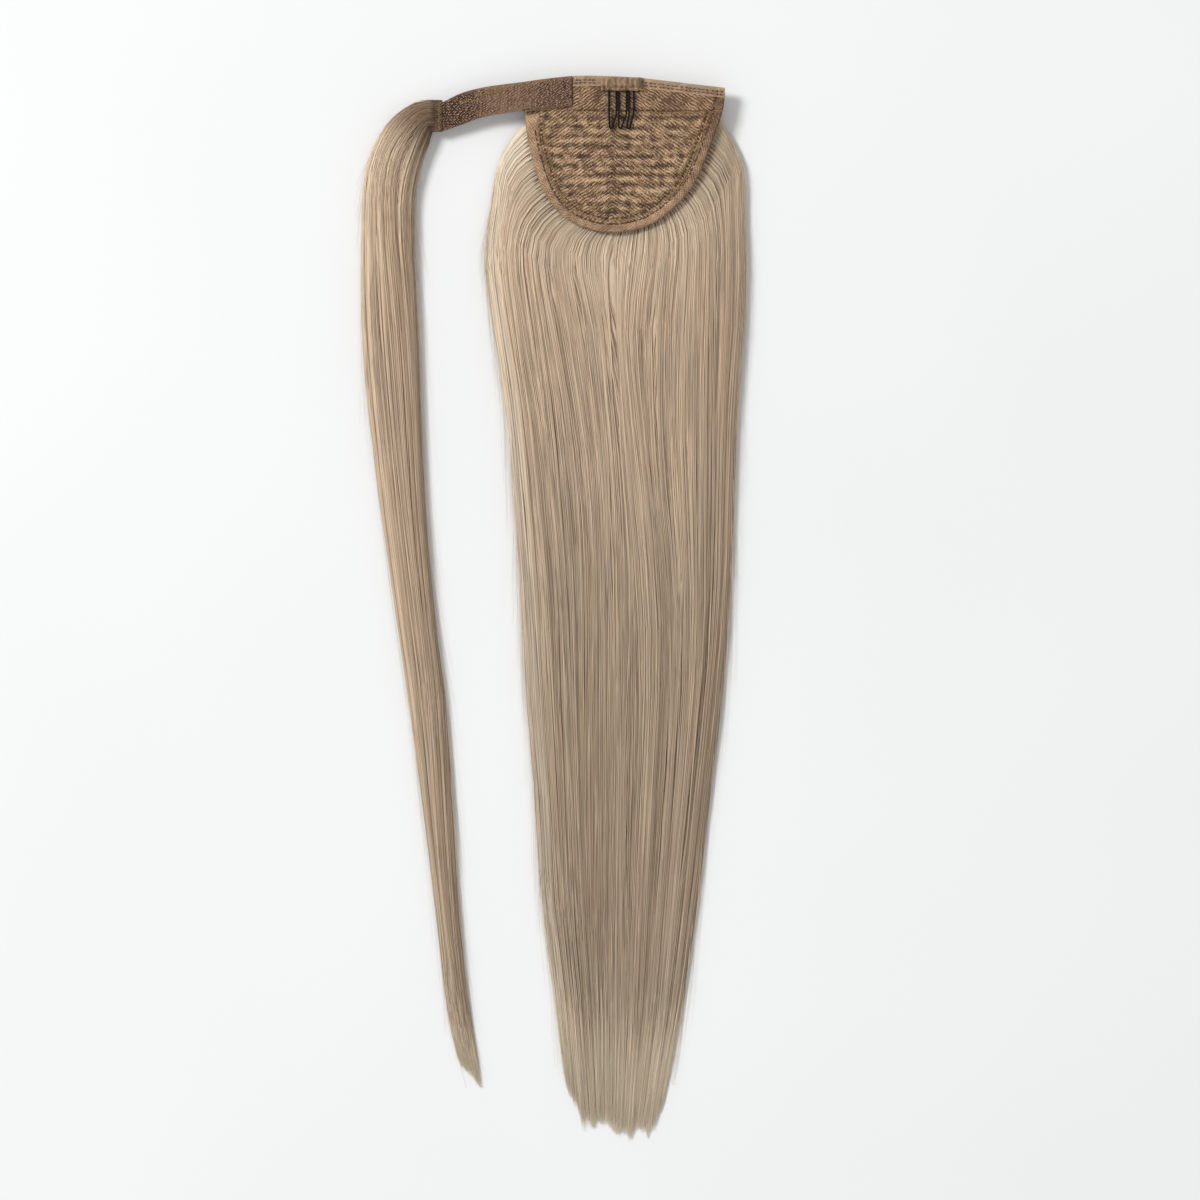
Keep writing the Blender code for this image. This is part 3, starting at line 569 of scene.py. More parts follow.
def fallPoint(share, step, reach=1.0, run=52.0, power=4):
    # x, down, underside and top of the main hair; steps below 0 lie under the base
    share, step = np.broadcast_arrays(np.asarray(share, dtype=float), np.asarray(step, dtype=float))
    edgeX, edgeDown, across = (hairAt(name, share) for name in ("edgeX", "edgeDown", "across"))
    tip = edgeDown + (hairAt("tip", share) - edgeDown) * reach
    under = step < 0
    down = np.where(under, edgeDown + (edgeDown - 8.0) * step, edgeDown + (tip - edgeDown) * step)
    settle = np.clip(1 - (down - edgeDown) / run, 0, 1) ** power
    x = laneAt(across, down) + (edgeX - laneAt(across, edgeDown)) * settle
    x = np.where(under, edgeX + edgeX * 0.15 * step, x)
    side = np.clip(np.abs(2 * across - 1), 0, 1)
    body = (1 - side ** 2.8) ** 0.5
    limit = baseHeight(edgeX, edgeDown) - 1.9
    rise = ease((down - edgeDown) / 16.0)
    free = read(fallRows, "height", down) * (0.32 + 0.68 * body)
    grown = np.minimum(1.0, free / 6.0)
    held = limit * (0.62 + 0.38 * np.minimum(1.0, 4 * body))
    top = held + (free + 0.35 * hairAt("lean", share) * grown - held) * rise
    groove = 0.8 * (1 - hairAt("wave", share)) * grown * (0.6 + 0.4 * rise)
    top, groove = np.where(under, limit, top), np.where(under, 0.0, groove)
    low = 0.28 * top * (1 - ease((1 - side) / 0.05))
    return x, down, low, np.maximum(top - groove, low + 0.8)


def parted(s, step, rows):
    # strands stand away from each parting's line
    for share, start, end, width, lean in rows:
        away = s - (share + lean * (step - start))
        window = ease((step - start) / 0.05) * (1 - ease((step - end + 0.07) / 0.07))
        s = s + window * width * np.sign(away) * np.exp(-np.abs(away) / (1.5 * width))
    return s


def gathered(s, step):
    # below the base's lowest point the hair draws together at the middle, then opens again
    away = s - hairStyle["middle"]
    pull = hairStyle["gather"] * np.exp(-(away / hairStyle["gatherWidth"]) ** 2)
    s = s - away * pull * ease(step / 0.13) * (1 - ease((step - 0.2) / 0.35))
    # and most of it drifts a little to the right on its way down
    inner = np.clip(s, 0, 1)
    return s + hairStyle["drift"] * (1 - np.exp(-inner / 0.05)) * (1 - inner ** 2) * ease((step - 0.05) / 0.5)


def allPartings():
    rng = np.random.default_rng(77)
    count = hairStyle["shortPartings"]
    start = rng.uniform(0.0, 0.8, count)
    rows = np.stack([rng.uniform(0.04, 0.96, count), start, start + rng.uniform(0.08, 0.2, count),
                     rng.uniform(0.0025, 0.005, count), rng.uniform(-0.05, 0.05, count)], axis=-1)
    return partingRows + rows.tolist()


def strandTubes(name, lines, radii, tint, mat, flatness, tubeSeed):
    # closed three-sided tubes along many lines; the map holds 64 tint columns by the length
    count, points = lines.shape[:2]
    ahead = np.gradient(lines, axis=1)
    ahead /= np.linalg.norm(ahead, axis=2, keepdims=True) + 1e-12
    side = np.cross(ahead, np.array([0.0, 0.0, 1.0]))
    side /= np.linalg.norm(side, axis=2, keepdims=True) + 1e-12
    rise = np.cross(side, ahead)
    turn = np.random.default_rng(tubeSeed).uniform(0, 2 * np.pi, (count, 1, 1))
    angle = turn + np.arange(3) * 2 * np.pi / 3
    ring = (lines[:, :, None] + radii[:, :, None, None] * (np.cos(angle)[..., None] * side[:, :, None]
            + flatness * np.sin(angle)[..., None] * rise[:, :, None]))
    i, p, c = np.meshgrid(np.arange(count), np.arange(points - 1), np.arange(3), indexing="ij")
    first = (i * points + p) * 3
    nextC = (c + 1) % 3
    quads = np.stack([first + c, first + nextC, first + 3 + nextC, first + 3 + c], axis=-1).reshape(-1, 4)
    column = np.floor(np.clip(tint, 0, 0.999) * 64) / 64
    u0, u1 = column[i] + c / 192, column[i] + (c + 1) / 192
    v0, v1 = p / (points - 1), (p + 1) / (points - 1)
    quadUv = np.stack([np.stack([u0, v0], -1), np.stack([u1, v0], -1), np.stack([u1, v1], -1),
                       np.stack([u0, v1], -1)], axis=-2).reshape(-1, 2)
    start = np.arange(count) * points * 3
    capA = np.stack([start + 2, start + 1, start], axis=-1)
    capB = np.stack([start, start + 1, start + 2], axis=-1) + (points - 1) * 3
    capU = column[:, None] + np.array([0.0, 1.0, 0.5]) / 64
    capUvA = np.stack([capU, np.tile([0.0, 0.0, 0.01], (count, 1))], -1).reshape(-1, 2)
    capUvB = np.stack([capU, np.tile([1.0, 1.0, 0.99], (count, 1))], -1).reshape(-1, 2)
    return buildMesh(name, ring.reshape(-1, 3), [quads, capA, capB], mat,
                     np.concatenate([quadUv, capUvA, capUvB]), "OFBake")


def fallStrands(rng, count, depthRange, partings):
    # lines, radii, places and depths of strands that follow the main hair
    style = hairStyle
    share = rng.uniform(0.004, 0.996, count)
    tuft = np.floor(share * style["tufts"] + 0.8 * cloudNoise(share * 40, 8.5, 27))
    tuftMiddle = (tuft + 0.5 + 0.4 * cloudNoise(tuft * 1.37, 0.5, 3)) / style["tufts"]
    t = np.linspace(0, 1, style["points"])[None, :]
    step = np.where(t == 0, -0.03, np.clip((t * style["points"] - 1) / (style["points"] - 1), 0, 1) ** 2)
    pull = style["tuftPull"] * (1 - ease((step - 0.004) / 0.05)) * rng.uniform(0.2, 1.3, (count, 1))
    loose = ease(step / 0.2)
    s = share[:, None] + (tuftMiddle[:, None] - share[:, None]) * pull
    s = s + loose * style["lockSway"] * cloudNoise(share[:, None] * style["locks"], step * 3.2 + 7, 21)
    s = s + loose * style["tuftSway"] * cloudNoise(share[:, None] * 90, step * 4.5 + 3, 22)
    own = rng.uniform(0, 256, (count, 1))
    s = s + loose * style["strandSway"] * cloudNoise(own, step * 5 + own, 23)
    wisp = np.floor(share * style["wisps"] + 0.5 * cloudNoise(share * 60, 1.5, 24))
    s = s + ((wisp[:, None] + 0.5) / style["wisps"] - s) * ease((step - 0.85) / 0.2) * 0.1
    s = np.clip(parted(gathered(s, step), step, partings), 0.002, 0.998)
    reach = 1.003 + 0.006 * cloudNoise(wisp * 1.7, 9.5, 25) - rng.exponential(style["tipShortness"], count)
    # the strands fill the notches between locks and square off the tips at both sides
    reach = reach + 0.017 * (1 - hairAt("wave", s[:, -1])) * rng.uniform(0.5, 1.0, count)
    across = hairAt("across", s[:, -1])
    reach = reach + 0.034 * np.exp(-((across - 0.13) / 0.1) ** 2) * rng.random(count)
    reach = reach + 0.03 * np.exp(-((across - 0.92) / 0.11) ** 2) * rng.uniform(0.5, 1.0, count)
    reach = np.clip(reach - 0.2 * (rng.random(count) < 0.1) * rng.random(count), 0.55, 1.04)
    x, down, low, top = fallPoint(s, step, reach[:, None], style["turnRun"], style["turnPower"])
    outer = np.exp(-np.minimum(share, 1 - share) / 0.02) * rng.exponential(0.45, count)
    x = x + (np.sign(share - 0.5) * outer)[:, None] * ease((step - 0.01) / 0.08) * (1 - 0.7 * step)
    deep = rng.uniform(*depthRange, count)[:, None]
    ripple = 0.3 * cloudNoise(share[:, None] * 150, step * 9, 26)
    edge = np.exp(-np.minimum(s, 1 - s) / 0.025) * loose
    sunk = deep * np.clip(step * 8 + 1.2, 0.35, 1)
    up = np.maximum(top * (1 - 0.4 * edge) - sunk + ripple * loose, low + 0.3)
    slim = np.clip((1 - step) / 0.06, 0, 1) ** 0.7 * 0.7 + 0.3
    radius = rng.uniform(*style["radius"], (count, 1)) * slim
    return place(x, down, up), radius * mm, share, deep[:, 0]


def hairTint(rng, share, deep):
    # lighter at the left as golden dye and a painted highlight, darker at the right as painted shade, with
    # broad bands and single streaks; deeper strands get a little painted shade
    style = hairStyle
    broad = 0.6 * cloudNoise(share * 15, 2.5, 31) + 0.4 * cloudNoise(share * 44, 4.5, 32)
    left = ease((0.2 - share) / 0.16)
    right = ease((share - 0.55) / 0.35)
    # the left lift is dye and painted highlight, the right drop is painted shade
    tint = style["tint"] + style["tintBands"] * broad + style["tintLeftDyeAndHighlight"] * left - style["tintRightPaintedShade"] * right
    tint = tint - 0.05 * (deep - 0.5) + rng.normal(0, style["tintSpread"], len(share))
    return np.clip(tint, 0.02, 0.99)


def makeHair():
    strandMat = hairMaterial("ash blonde strands", strandLook)
    bodyMat = hairMaterial("hair body", bodyLook)
    rng = np.random.default_rng(hairStyle["seed"])
    partings = allPartings()

    rows, columns = 74, 221
    share = np.linspace(0, 1, columns)[None, :]
    step = np.concatenate([[-1.0, -0.5, -0.12], np.linspace(0, 1, rows - 3) ** 1.3])[:, None]
    x, down, low, top = fallPoint(share, step, hairStyle["bodyReach"])
    fine = 0.3 * cloudNoise(share * 150, step * 6, 41) + 0.15 * cloudNoise(share * 420, step * 10, 42)
    out = ease(step / 0.02)
    sink = 0.9 + 1.6 * ease((step - 0.9) / 0.1)
    edge = np.exp(-np.minimum(share, 1 - share) / 0.025) * out
    top = np.maximum(top * (1 - 0.4 * edge) - out * (sink - fine), low + 0.3)
    x = x - np.sign(share - 0.5) * 1.4 * edge
    uv = np.stack(np.broadcast_arrays(share, np.clip(step, 0, 1)), axis=-1)
    body = closedSheet("hair_body", place(x, down, top), place(x, down, low), bodyMat, uv)
    body.data.uv_layers[0].name = "hair"
    finishPiece(body, "hair", "hair_fall")

    for k, depthRange in enumerate(hairStyle["layers"]):
        lines, radii, share, deep = fallStrands(rng, hairStyle["strands"], depthRange, partings)
        piece = strandTubes(f"hair_strands_{k + 1}", lines, radii, hairTint(rng, share, deep), strandMat,
                            hairStyle["flatness"], k)
        finishPiece(piece, "hair")
    return strandMat, bodyMat


# wrap strand
wrapStyle = {
    "strands": 1100, "points": 22, "radius": (0.1, 0.25), "flatness": 0.55, "end": 18.0, "bodyEnd": 15.2,
    "tipShortness": 0.062, "tipSpread": 1.9, "tint": 0.39, "seed": 5,
    # partings: place across the strand, first and last stop, half width
    "partings": ((0.12, 2.0, 8.8, 0.05), (-0.35, 7, 11, 0.03), (0.3, 9.5, 12.5, 0.035), (-0.1, 10, 13, 0.025),
                 (0.5, 12, 15, 0.03)),
}
# the wrap strand's roots get a deeper, longer painted shade where they leave the weft
wrapLook = dict(strandLook, root=(156, 141, 129), rootReach=0.19, lengthPower=1.6, lengthShare=0.85)
strandRows = table("stop x down half low high", [
    (0, -91.1, 19.5, 7.8, 3.6, 10.2), (1, -94.8, 19.7, 8.2, 2.6, 11), (2, -98.8, 23.2, 9.8, 1.4, 11.7),
    (3, -102.2, 27.6, 11.3, 0.5, 12), (4, -105.2, 32.6, 12.2, 0, 12), (5, -108.6, 40.5, 13, 0, 11.6),
    (6, -111.4, 50.5, 13.2, 0, 11), (7, -112.8, 64, 12.8, 0, 10.5), (8, -113, 86, 13, 0, 10),
    (9, -112.5, 111, 13.8, 0, 9.5), (10, -110.8, 150, 13.6, 0, 8.8), (11, -106.8, 202, 11.4, 0, 7.8),
    (12, -100.5, 261, 9.5, 0, 6.8), (13, -93.5, 311, 9, 0, 6), (14, -88.5, 361, 7.5, 0, 5.2),
    (15, -84, 411, 5.6, 0, 4.2), (16, -78.8, 460, 4.8, 0, 3.2), (17, -74.3, 486, 2.8, 0, 2.2),
    (18, -69.5, 505, 1, 0, 1.2),
])


def wrapPoint(share, stop):
    # share -1 is one side of the strand and 1 the other
    stop = np.clip(stop, 0, wrapStyle["end"] - 0.01)
    share, stop = np.broadcast_arrays(np.asarray(share, dtype=float), stop)
    x, down, runX, runDown, length = pathAt(strandRows, stop, 0.05)
    half, low, high = (read(strandRows, name, stop) for name in ("half", "low", "high"))
    low = np.maximum(low, 0)
    across = (np.sin(share * np.pi / 2) + share) / 2
    body = np.clip(1 - np.abs(across) ** 2.4, 0, 1) ** 0.5
    wave = np.abs(np.sin(np.pi * 6 * (share + 1) / 2))
    tall = (high - low) * (0.34 + 0.66 * body)
    tall = tall - 0.55 * (1 - wave) * np.minimum(1, tall / 9.0)
    raised = 0.26 * tall * (1 - ease((1 - np.abs(across)) / 0.12))
    atX = x + runDown / length * half * across
    atDown = down - runX / length * half * across
    return atX, atDown, low + raised, low + np.maximum(tall, raised + 0.7)


def makeWrapStrand(bodyMat):
    mat = hairMaterial("wrap strand hair", wrapLook)
    rows, columns = 70, 61
    share = np.linspace(-1, 1, columns)[None, :]
    stop = np.linspace(0, wrapStyle["bodyEnd"], rows)[:, None]
    x, down, low, top = wrapPoint(share, stop)
    fine = 0.3 * cloudNoise(share * 30, stop * 0.6, 51)
    edge = np.exp(-(1 - np.abs(share)) / 0.07) * ease(stop / 3)
    sink = 0.8 + 1.8 * ease((stop - 12.5) / 2.5)
    top = np.maximum(top * (1 - 0.4 * edge) - sink + fine, low + 0.3)
    x = x - np.sign(share) * 1.2 * edge
    uv = np.stack(np.broadcast_arrays(share / 2 + 0.5, stop / wrapStyle["end"]), axis=-1)
    body = closedSheet("wrap_strand_body", place(x, down, top), place(x, down, low), bodyMat, uv)
    body.data.uv_layers[0].name = "hair"
    finishPiece(body, "hair", "wrap_strand")

    rng = np.random.default_rng(wrapStyle["seed"])
    count = wrapStyle["strands"]
    own = rng.uniform(-0.985, 0.985, (count, 1))
    t = np.linspace(0, 1, wrapStyle["points"])[None, :] ** 1.1
    reach = np.clip(0.985 - rng.exponential(wrapStyle["tipShortness"], (count, 1)) + 0.02 * own, 0.5, 1.005)
    stop = wrapStyle["end"] * t * reach
    seedAt = rng.uniform(0, 256, (count, 1))
    sway = 0.06 * cloudNoise(own * 6 + 20, stop * 0.4, 52) + 0.03 * cloudNoise(own * 17 + 60, stop * 0.5, 53)
    sway = sway + 0.02 * cloudNoise(seedAt, stop * 0.5 + seedAt, 54)
    s = own + sway * ease(stop / 2)
    s = s + 0.34 * (1 - s ** 2) * ease((stop - 7) / 3.5) * (1 - ease((stop - 12) / 3))
    for middle, start, end, width in wrapStyle["partings"]:
        away = s - middle - 0.03 * (stop - start)
        window = ease((stop - start) / 1.2) * (1 - ease((stop - end + 1.2) / 1.2))
        s = s + window * width * np.sign(away) * np.exp(-np.abs(away) / (1.6 * width))
    s = np.clip(s, -0.995, 0.995)
    x, down, low, top = wrapPoint(s, stop)
    spread = wrapStyle["tipSpread"] * s + rng.normal(0, 0.5, (count, 1))
    x = x + spread * ease((stop - 15) / 2.6)
    x = x + 2.6 * (1 - ease(stop / 1.2)) * rng.uniform(0.2, 1.0, (count, 1))
    deep = rng.uniform(-0.3, 1.1, (count, 1))
    edge = np.exp(-(1 - np.abs(s)) / 0.07) * ease(stop / 3)
    up = np.maximum(top * (1 - 0.4 * edge) - deep, low + 0.3)
    slim = np.clip((1 - t) / 0.1, 0, 1) ** 0.8 * 0.75 + 0.25
    radius = rng.uniform(*wrapStyle["radius"], (count, 1)) * slim
    # painted highlight at the left (outer) side, painted shade at the right (inner) side and in a streak just
    # right of the middle, and a little painted shade on the deeper strands
    own, deep = own[:, 0], deep[:, 0]
    tint = wrapStyle["tint"] + 0.14 * cloudNoise(own * 9 + 30, 3.3, 55)
    tint = tint + rng.normal(0, 0.09, count) - 0.05 * deep
    tint = tint + 0.16 * ease((-own - 0.1) / 0.8) - 0.08 * ease((own - 0.1) / 0.7)
    tint = np.clip(tint - 0.22 * np.exp(-((own - 0.1) / 0.1) ** 2), 0.02, 0.99)
    piece = strandTubes("wrap_strand_strands", place(x, down, up), radius * mm, tint, mat,
                        wrapStyle["flatness"], 9)
    finishPiece(piece, "hair")


def makeFlyaways(mat):
    # single hairs that stand off the outline of both lengths of hair
    rng = np.random.default_rng(19)
    count, points = hairStyle["flyaways"], 14
    side = rng.choice([-1.0, 1.0], count)[:, None]
    t = np.linspace(0, 1, points)[None, :]
    start = 0.9 * rng.random((count, 1)) ** 1.6
    span = rng.uniform(0.08, 0.24, (count, 1))
    step = np.minimum(start + span * t, 1.03)
    share = 0.5 + side * (0.5 - rng.uniform(0.005, 0.03, (count, 1)))
    x, down, low, top = fallPoint(share, np.minimum(step, 1.0))
    drift = rng.uniform(0.6, 5.0, (count, 1)) * t ** 1.5 + 0.5 * np.sin(t * rng.uniform(1, 5, (count, 1)))
    x = x + side * drift
    up = np.clip(top * 0.6 + rng.uniform(-1, 2, (count, 1)), 0.4, 11)
    lines = [place(x, down, up)]
    half = count // 2
    stop = np.clip(rng.uniform(5, 16, (half, 1)) + rng.uniform(1, 3, (half, 1)) * t, 0, 18)
    side = rng.choice([-1.0, 1.0, 1.0, 1.0], half)[:, None]
    x, down, low, top = wrapPoint(side * 0.97, stop)
    x = x + side * (rng.uniform(0.5, 6.0, (half, 1)) * t ** 1.6 + 0.4 * np.sin(t * 4))
    lines.append(place(x, down, np.clip(top * 0.5 + rng.uniform(-1, 1.5, (half, 1)), 0.4, 9)))
    lines = np.concatenate(lines)
    radii = 0.07 * mm * np.ones(lines.shape[:2]) * (1 - 0.6 * t)
    tint = np.clip(rng.normal(0.75, 0.1, len(lines)), 0, 0.99)
    finishPiece(strandTubes("flyaway_hairs", lines, radii, tint, mat, 0.9, 4), "hair")


# cloth base: sizes in millimetres, bump depths in metres, tones from dark to light
ribs = {"start": 18.5, "pitch": 4.8, "height": 0.5, "groove": 0.22, "margin": 8.5, "fade": 3.0,
        "pucker": 0.4, "puckerWidth": 2.2, "lump": 0.42, "seamDip": 0.06}
panelStyle = {"tones": ((66, 45, 30), (152, 119, 88), (224, 188, 148)), "bumpDepth": 0.0006,
              "weave": {"Pitch": 2.5, "Contrast": 0.3, "Speck": 2.4}}


def panelOutline():
    stops = np.linspace(0, 11, 221)
    path = np.stack(edgePoint(stops, base["tape"] + base["gap"]), axis=-1)
    lowest = int(np.argmax(path[:, 1]))
    folds = read(edgeRows, "fold", stops)
    return path[:lowest + 1], path[lowest:][::-1], np.concatenate([folds[:lowest + 1], folds[lowest:][::-1]])


def makePanel():
    left, right, edgeFold = panelOutline()
    rows, columns = 132, 141
    level = np.linspace(0, left[-1, 1] - base["gap"], rows)[:, None]
    t = np.linspace(0, 1, columns)[None, :]
    ends = [np.interp(level, side[:, 1], side[:, 0]) for side in (left, right)]
    x = ends[0] + (ends[1] - ends[0]) * t
    down = level + (read(topRows, "down", x) + 1.3) * np.clip(1 - level / base["flatDown"], 0, 1)
    edge = np.concatenate([left, right])
    clear = np.full(x.shape, 1e9)
    fold = np.zeros(x.shape)
    for (edgeX, edgeDown), foldHere in zip(edge[::2], edgeFold[::2]):
        away = np.hypot(x - edgeX, down - edgeDown)
        fold = np.where(away < clear, foldHere, fold)
        clear = np.minimum(clear, away)
    beyond = clear + base["tape"] + base["gap"] - fold
    calm = ease((clear - ribs["margin"]) / ribs["fade"] + 1) * ease((level - ribs["start"]) / 2 + 0.3)
    warped = level + 1.0 * cloudNoise(x * 0.07, level * 0.1, 61) + 0.25 * cloudNoise(x * 0.3, level * 0.2, 68)
    part = ((warped - ribs["start"]) / ribs["pitch"]) % 1.0
    rib = ribs["height"] * 0.6 * np.cos(2 * np.pi * part)
    rib = rib - ribs["groove"] * np.exp(-((part - 0.5) / 0.13) ** 2)
    rib = rib * np.clip(0.7 + 0.6 * cloudNoise(x * 0.12, level * 0.25, 69), 0.15, 1.3)
    lump = ribs["lump"] * cloudNoise(x * 0.42, level * 0.5, 62) + 0.14 * cloudNoise(x * 1.1, level * 1.2, 70)
    pucker = ribs["pucker"] * np.exp(-((x / ribs["puckerWidth"]) ** 2))
    pucker = pucker * (0.6 + 0.4 * np.cos(2 * np.pi * part))
    seam = ribs["seamDip"] * np.exp(-((clear - 5.2) / 0.7) ** 2) * ease((level - 16) / 3)
    seam = seam + 0.18 * cloudNoise(x * 0.9, down * 0.9, 71) * np.exp(-((clear - 4.5) / 2.5) ** 2)
    raised = calm * (rib - pucker) + ease(clear / 1.5) * (lump * (0.4 + 0.6 * calm) - seam)
    raised = raised + 0.3 * np.exp(-(beyond / 1.6) ** 2) * (beyond > 0.4)
    top = baseHeight(x, down) + base["cloth"] + raised
    # tone from the height: painted shade in the ribs' hollows, puckers and seams, painted light on the raised
    # parts
    panel = clothPiece("panel_cloth", x, down, top, baseHeight(x, down),
                       clothMaterial("ribbed twill", panelStyle), 0.47 + 0.62 * raised, "twill", "base_panel")


# smooth band along the top
bandStyle = {"rightEnd": 50.3, "fromTop": 4.9, "lowerEdge": 17.4, "hemDrop": 0.5, "bumpDepth": 0.0003,
             "tones": ((70, 49, 34), (124, 95, 71), (188, 154, 120)),
             "weave": {"Pitch": 2.4, "Contrast": 0.42, "Speck": 2.3}}


def makeBand():
    rows, columns = 25, 141
    r = np.linspace(0, 1, rows)[:, None]
    x = bandLeft + (bandStyle["rightEnd"] - 1.7 * r - bandLeft) * np.linspace(0, 1, columns)[None, :]
    start = read(topRows, "down", x) + bandStyle["fromTop"]
    down = start + (bandStyle["lowerEdge"] + 0.35 * cloudNoise(x * 0.25, 3.5, 72) - start) * r
    bumps = 0.14 * cloudNoise(x * 0.25, down * 0.35, 63) + 0.07 * cloudNoise(x * 0.8, down * 0.9, 73)
    hem = ease((r - 0.9) / 0.1)
    top = base["underside"] + base["layerTop"] + bumps - 0.06 - bandStyle["hemDrop"] * hem
    dark = np.exp(-((x - 29) / 6) ** 2 - ((down - 12.5) / 4) ** 2) + 0.8 * np.exp(-((x + 8) / 3) ** 2)
    # tone: painted light and shade on the bumps, painted shade at the dropped hem, and two darker patches
    band = clothPiece("band_cloth", x, down, top, base["underside"] + base["layerLow"],
                      clothMaterial("smooth twill", bandStyle), 0.5 + 0.8 * bumps - 0.25 * dark - 0.2 * hem,
                      "smooth_twill", "upper_band")


# folded bindings
def tapeChain(reach, under, steps):
    # outer and inner line of the folded tape as depth and rise, from the top round the rim
    outer = np.array([(0.8, 2.6), (0.15, 2.1), (0.0, 0.65), (0.15, -0.8), (0.8, -1.3)])
    inner = np.array([(1.25, 1.6), (1.0, 1.5), (1.0, 0.65), (1.0, -0.2), (1.25, -0.3)])
    chains = []
    for line, high, low in ((outer, 2.6, -1.3), (inner, 1.6, -0.3)):
        chain = np.concatenate([[(reach, high)], line, [(under, low)]])
        at = np.concatenate([[0], np.cumsum(np.hypot(*np.diff(chain, axis=0).T))])
        even = np.linspace(0, at[-1], steps)
        chains.append(np.stack([np.interp(even, at, chain[:, k]) for k in range(2)], axis=-1))
    return chains


def foldedTape(name, x, down, inX, inDown, reach, under, mat, node, shadeAndTone):
    # a tape over the edge x, down, with inX, inDown pointing inwards; the last argument gives its lift and
    # its tone, and the tone paints shade into the colour
    steps = 21
    upper, lower, uv, shade = [], [], [], []
    along = np.concatenate([[0], np.cumsum(np.hypot(np.diff(x), np.diff(down)))])
    for i in range(len(x)):
        outer, inner = tapeChain(reach[i], under, steps)
        lift, tone = shadeAndTone(along[i], outer[:, 0], outer[:, 1], reach[i])
        for chain, kept, extra in ((outer, upper, lift), (inner, lower, 0.0)):
            atX, atDown = x[i] + inX[i] * chain[:, 0], down[i] + inDown[i] * chain[:, 0]
            kept.append(place(atX, atDown, baseHeight(atX, atDown) + chain[:, 1] + extra))
        width = np.concatenate([[0], np.cumsum(np.hypot(*np.diff(outer, axis=0).T))])
        uv.append(np.stack([np.full(steps, along[i]), width], axis=-1))
        shade.append(tone)
    tape = closedSheet(name, np.array(upper), np.array(lower), mat, np.array(uv))
    paintRelief(tape, np.array(shade))
    finishPiece(tape, "tape", node)
    return tape, along[-1]


edgeStyle = {"under": 3.4, "bumpDepth": 0.00022,
             "tones": ((80, 58, 42), (142, 113, 86), (192, 160, 128)),
             "weave": {"Pitch": 2.0, "Contrast": 0.2, "Speck": 1.5}}
topStyle = {"reach": 4.8, "under": 4.2, "bumpDepth": 0.0002,
            "tones": ((92, 70, 54), (148, 122, 98), (200, 172, 144)),
            "weave": {"Pitch": 1.4, "Contrast": 0.2, "Speck": 1.2}}


def makeEdgeBinding():
    stop = np.linspace(edgeRows["stop"][-1], 0, 261)
    x, down = edgePoint(stop)
    innerX, innerDown = edgePoint(stop, 1.0)
    inX, inDown = innerX - x, innerDown - down
    reach = read(edgeRows, "fold", stop)
    # the tape runs on to meet the top binding at the right end
    lead = np.linspace(10.75, 12.1, 6)
    x, down = np.concatenate([np.full(6, x[0] + 0.08), x]), np.concatenate([lead, down])
    inX, inDown = np.concatenate([np.full(6, inX[0]), inX]), np.concatenate([np.full(6, inDown[0]), inDown])
    reach = np.concatenate([np.full(6, reach[0]), reach])

    def shadeAndTone(along, depth, rise, reachHere):
        top = (rise > 2.0) * ease(depth / 1.2)
        hem = np.exp(-((reachHere - depth) / 1.3) ** 2)
        ripple = 0.1 * cloudNoise(along * 0.35, depth * 0.3, 64)
        ripple = ripple + 0.05 * cloudNoise(along * 1.3, depth * 0.8, 74)
        ripple = ripple + 0.22 * cloudNoise(along * 0.9, depth * 0.9, 81) * ease((depth - 3.8) / 0.6)
        # painted shade: darker at the binding's right end, at the rim where the tape turns down and in a
        # stretch further along; the ripples on top are painted lighter and darker as they rise and fall
        shaded = 0.42 * np.exp(-(along / 50.0) ** 2) + 0.12 * np.exp(-depth / 0.8)
        shaded = shaded + 0.1 * np.exp(-((along - 110.0) / 30.0) ** 2)
        return top * (ripple - 0.75 * hem), 0.62 + 1.3 * top * ripple - shaded

    mat = clothMaterial("bias binding", edgeStyle)
    tape, length = foldedTape("edge_binding_cloth", x, down, inX, inDown, reach, edgeStyle["under"], mat,
                              "edge_binding", shadeAndTone)


def makeTopBinding():
    points = 141
    x = np.linspace(bandLeft, 55.2, points)

    def shadeAndTone(along, depth, rise, reachHere):
        top = (rise > 2.0) * ease(depth / 1.2)
        rows = np.exp(-((depth - 2.2) / 0.3) ** 2) + np.exp(-((depth - 3.6) / 0.3) ** 2)
        lift = top * (0.07 * cloudNoise(along * 0.4, depth * 0.3, 65) - 0.1 * rows)
        # the tone follows the lift: painted shade in the dips of the stitched rows
        return lift, 0.56 + 1.6 * lift

    mat = clothMaterial("top binding", topStyle)
    reach = np.full(points, topStyle["reach"])
    tape, length = foldedTape("top_binding_cloth", x, read(topRows, "down", x), np.zeros(points),
                              np.ones(points), reach, topStyle["under"], mat, "top_binding", shadeAndTone)


# hook tape
strapRows = table("x upper lower top", [
    (-85.6, 12.8, 27.2, 8), (-75.8, 8.2, 23.9, 9), (-67.5, 6, 20.9, 10.1), (-54, 4, 18.4, 11.8),
    (-46, 3.1, 17.5, 12.5), (-35.5, 1.6, 16.8, 12.5), (-21.2, 0, 14.6, 12.5),
])
strapStyle = {"left": -85.75, "right": -20.7, "thickness": 1.2, "selvedge": 0.05, "bumpDepth": 0.0003,
              "tones": ((46, 30, 22), (96, 70, 53), (134, 106, 84)),
              "weave": {"Pitch": 1.9, "Contrast": 0.35, "Speck": 1.8}}
hooks = {"left": -84.4, "right": -21.8, "spacing": 1.45, "row": 1.35, "height": 0.5, "reach": 0.95,
         "wire": 0.24, "margin": 1.2}


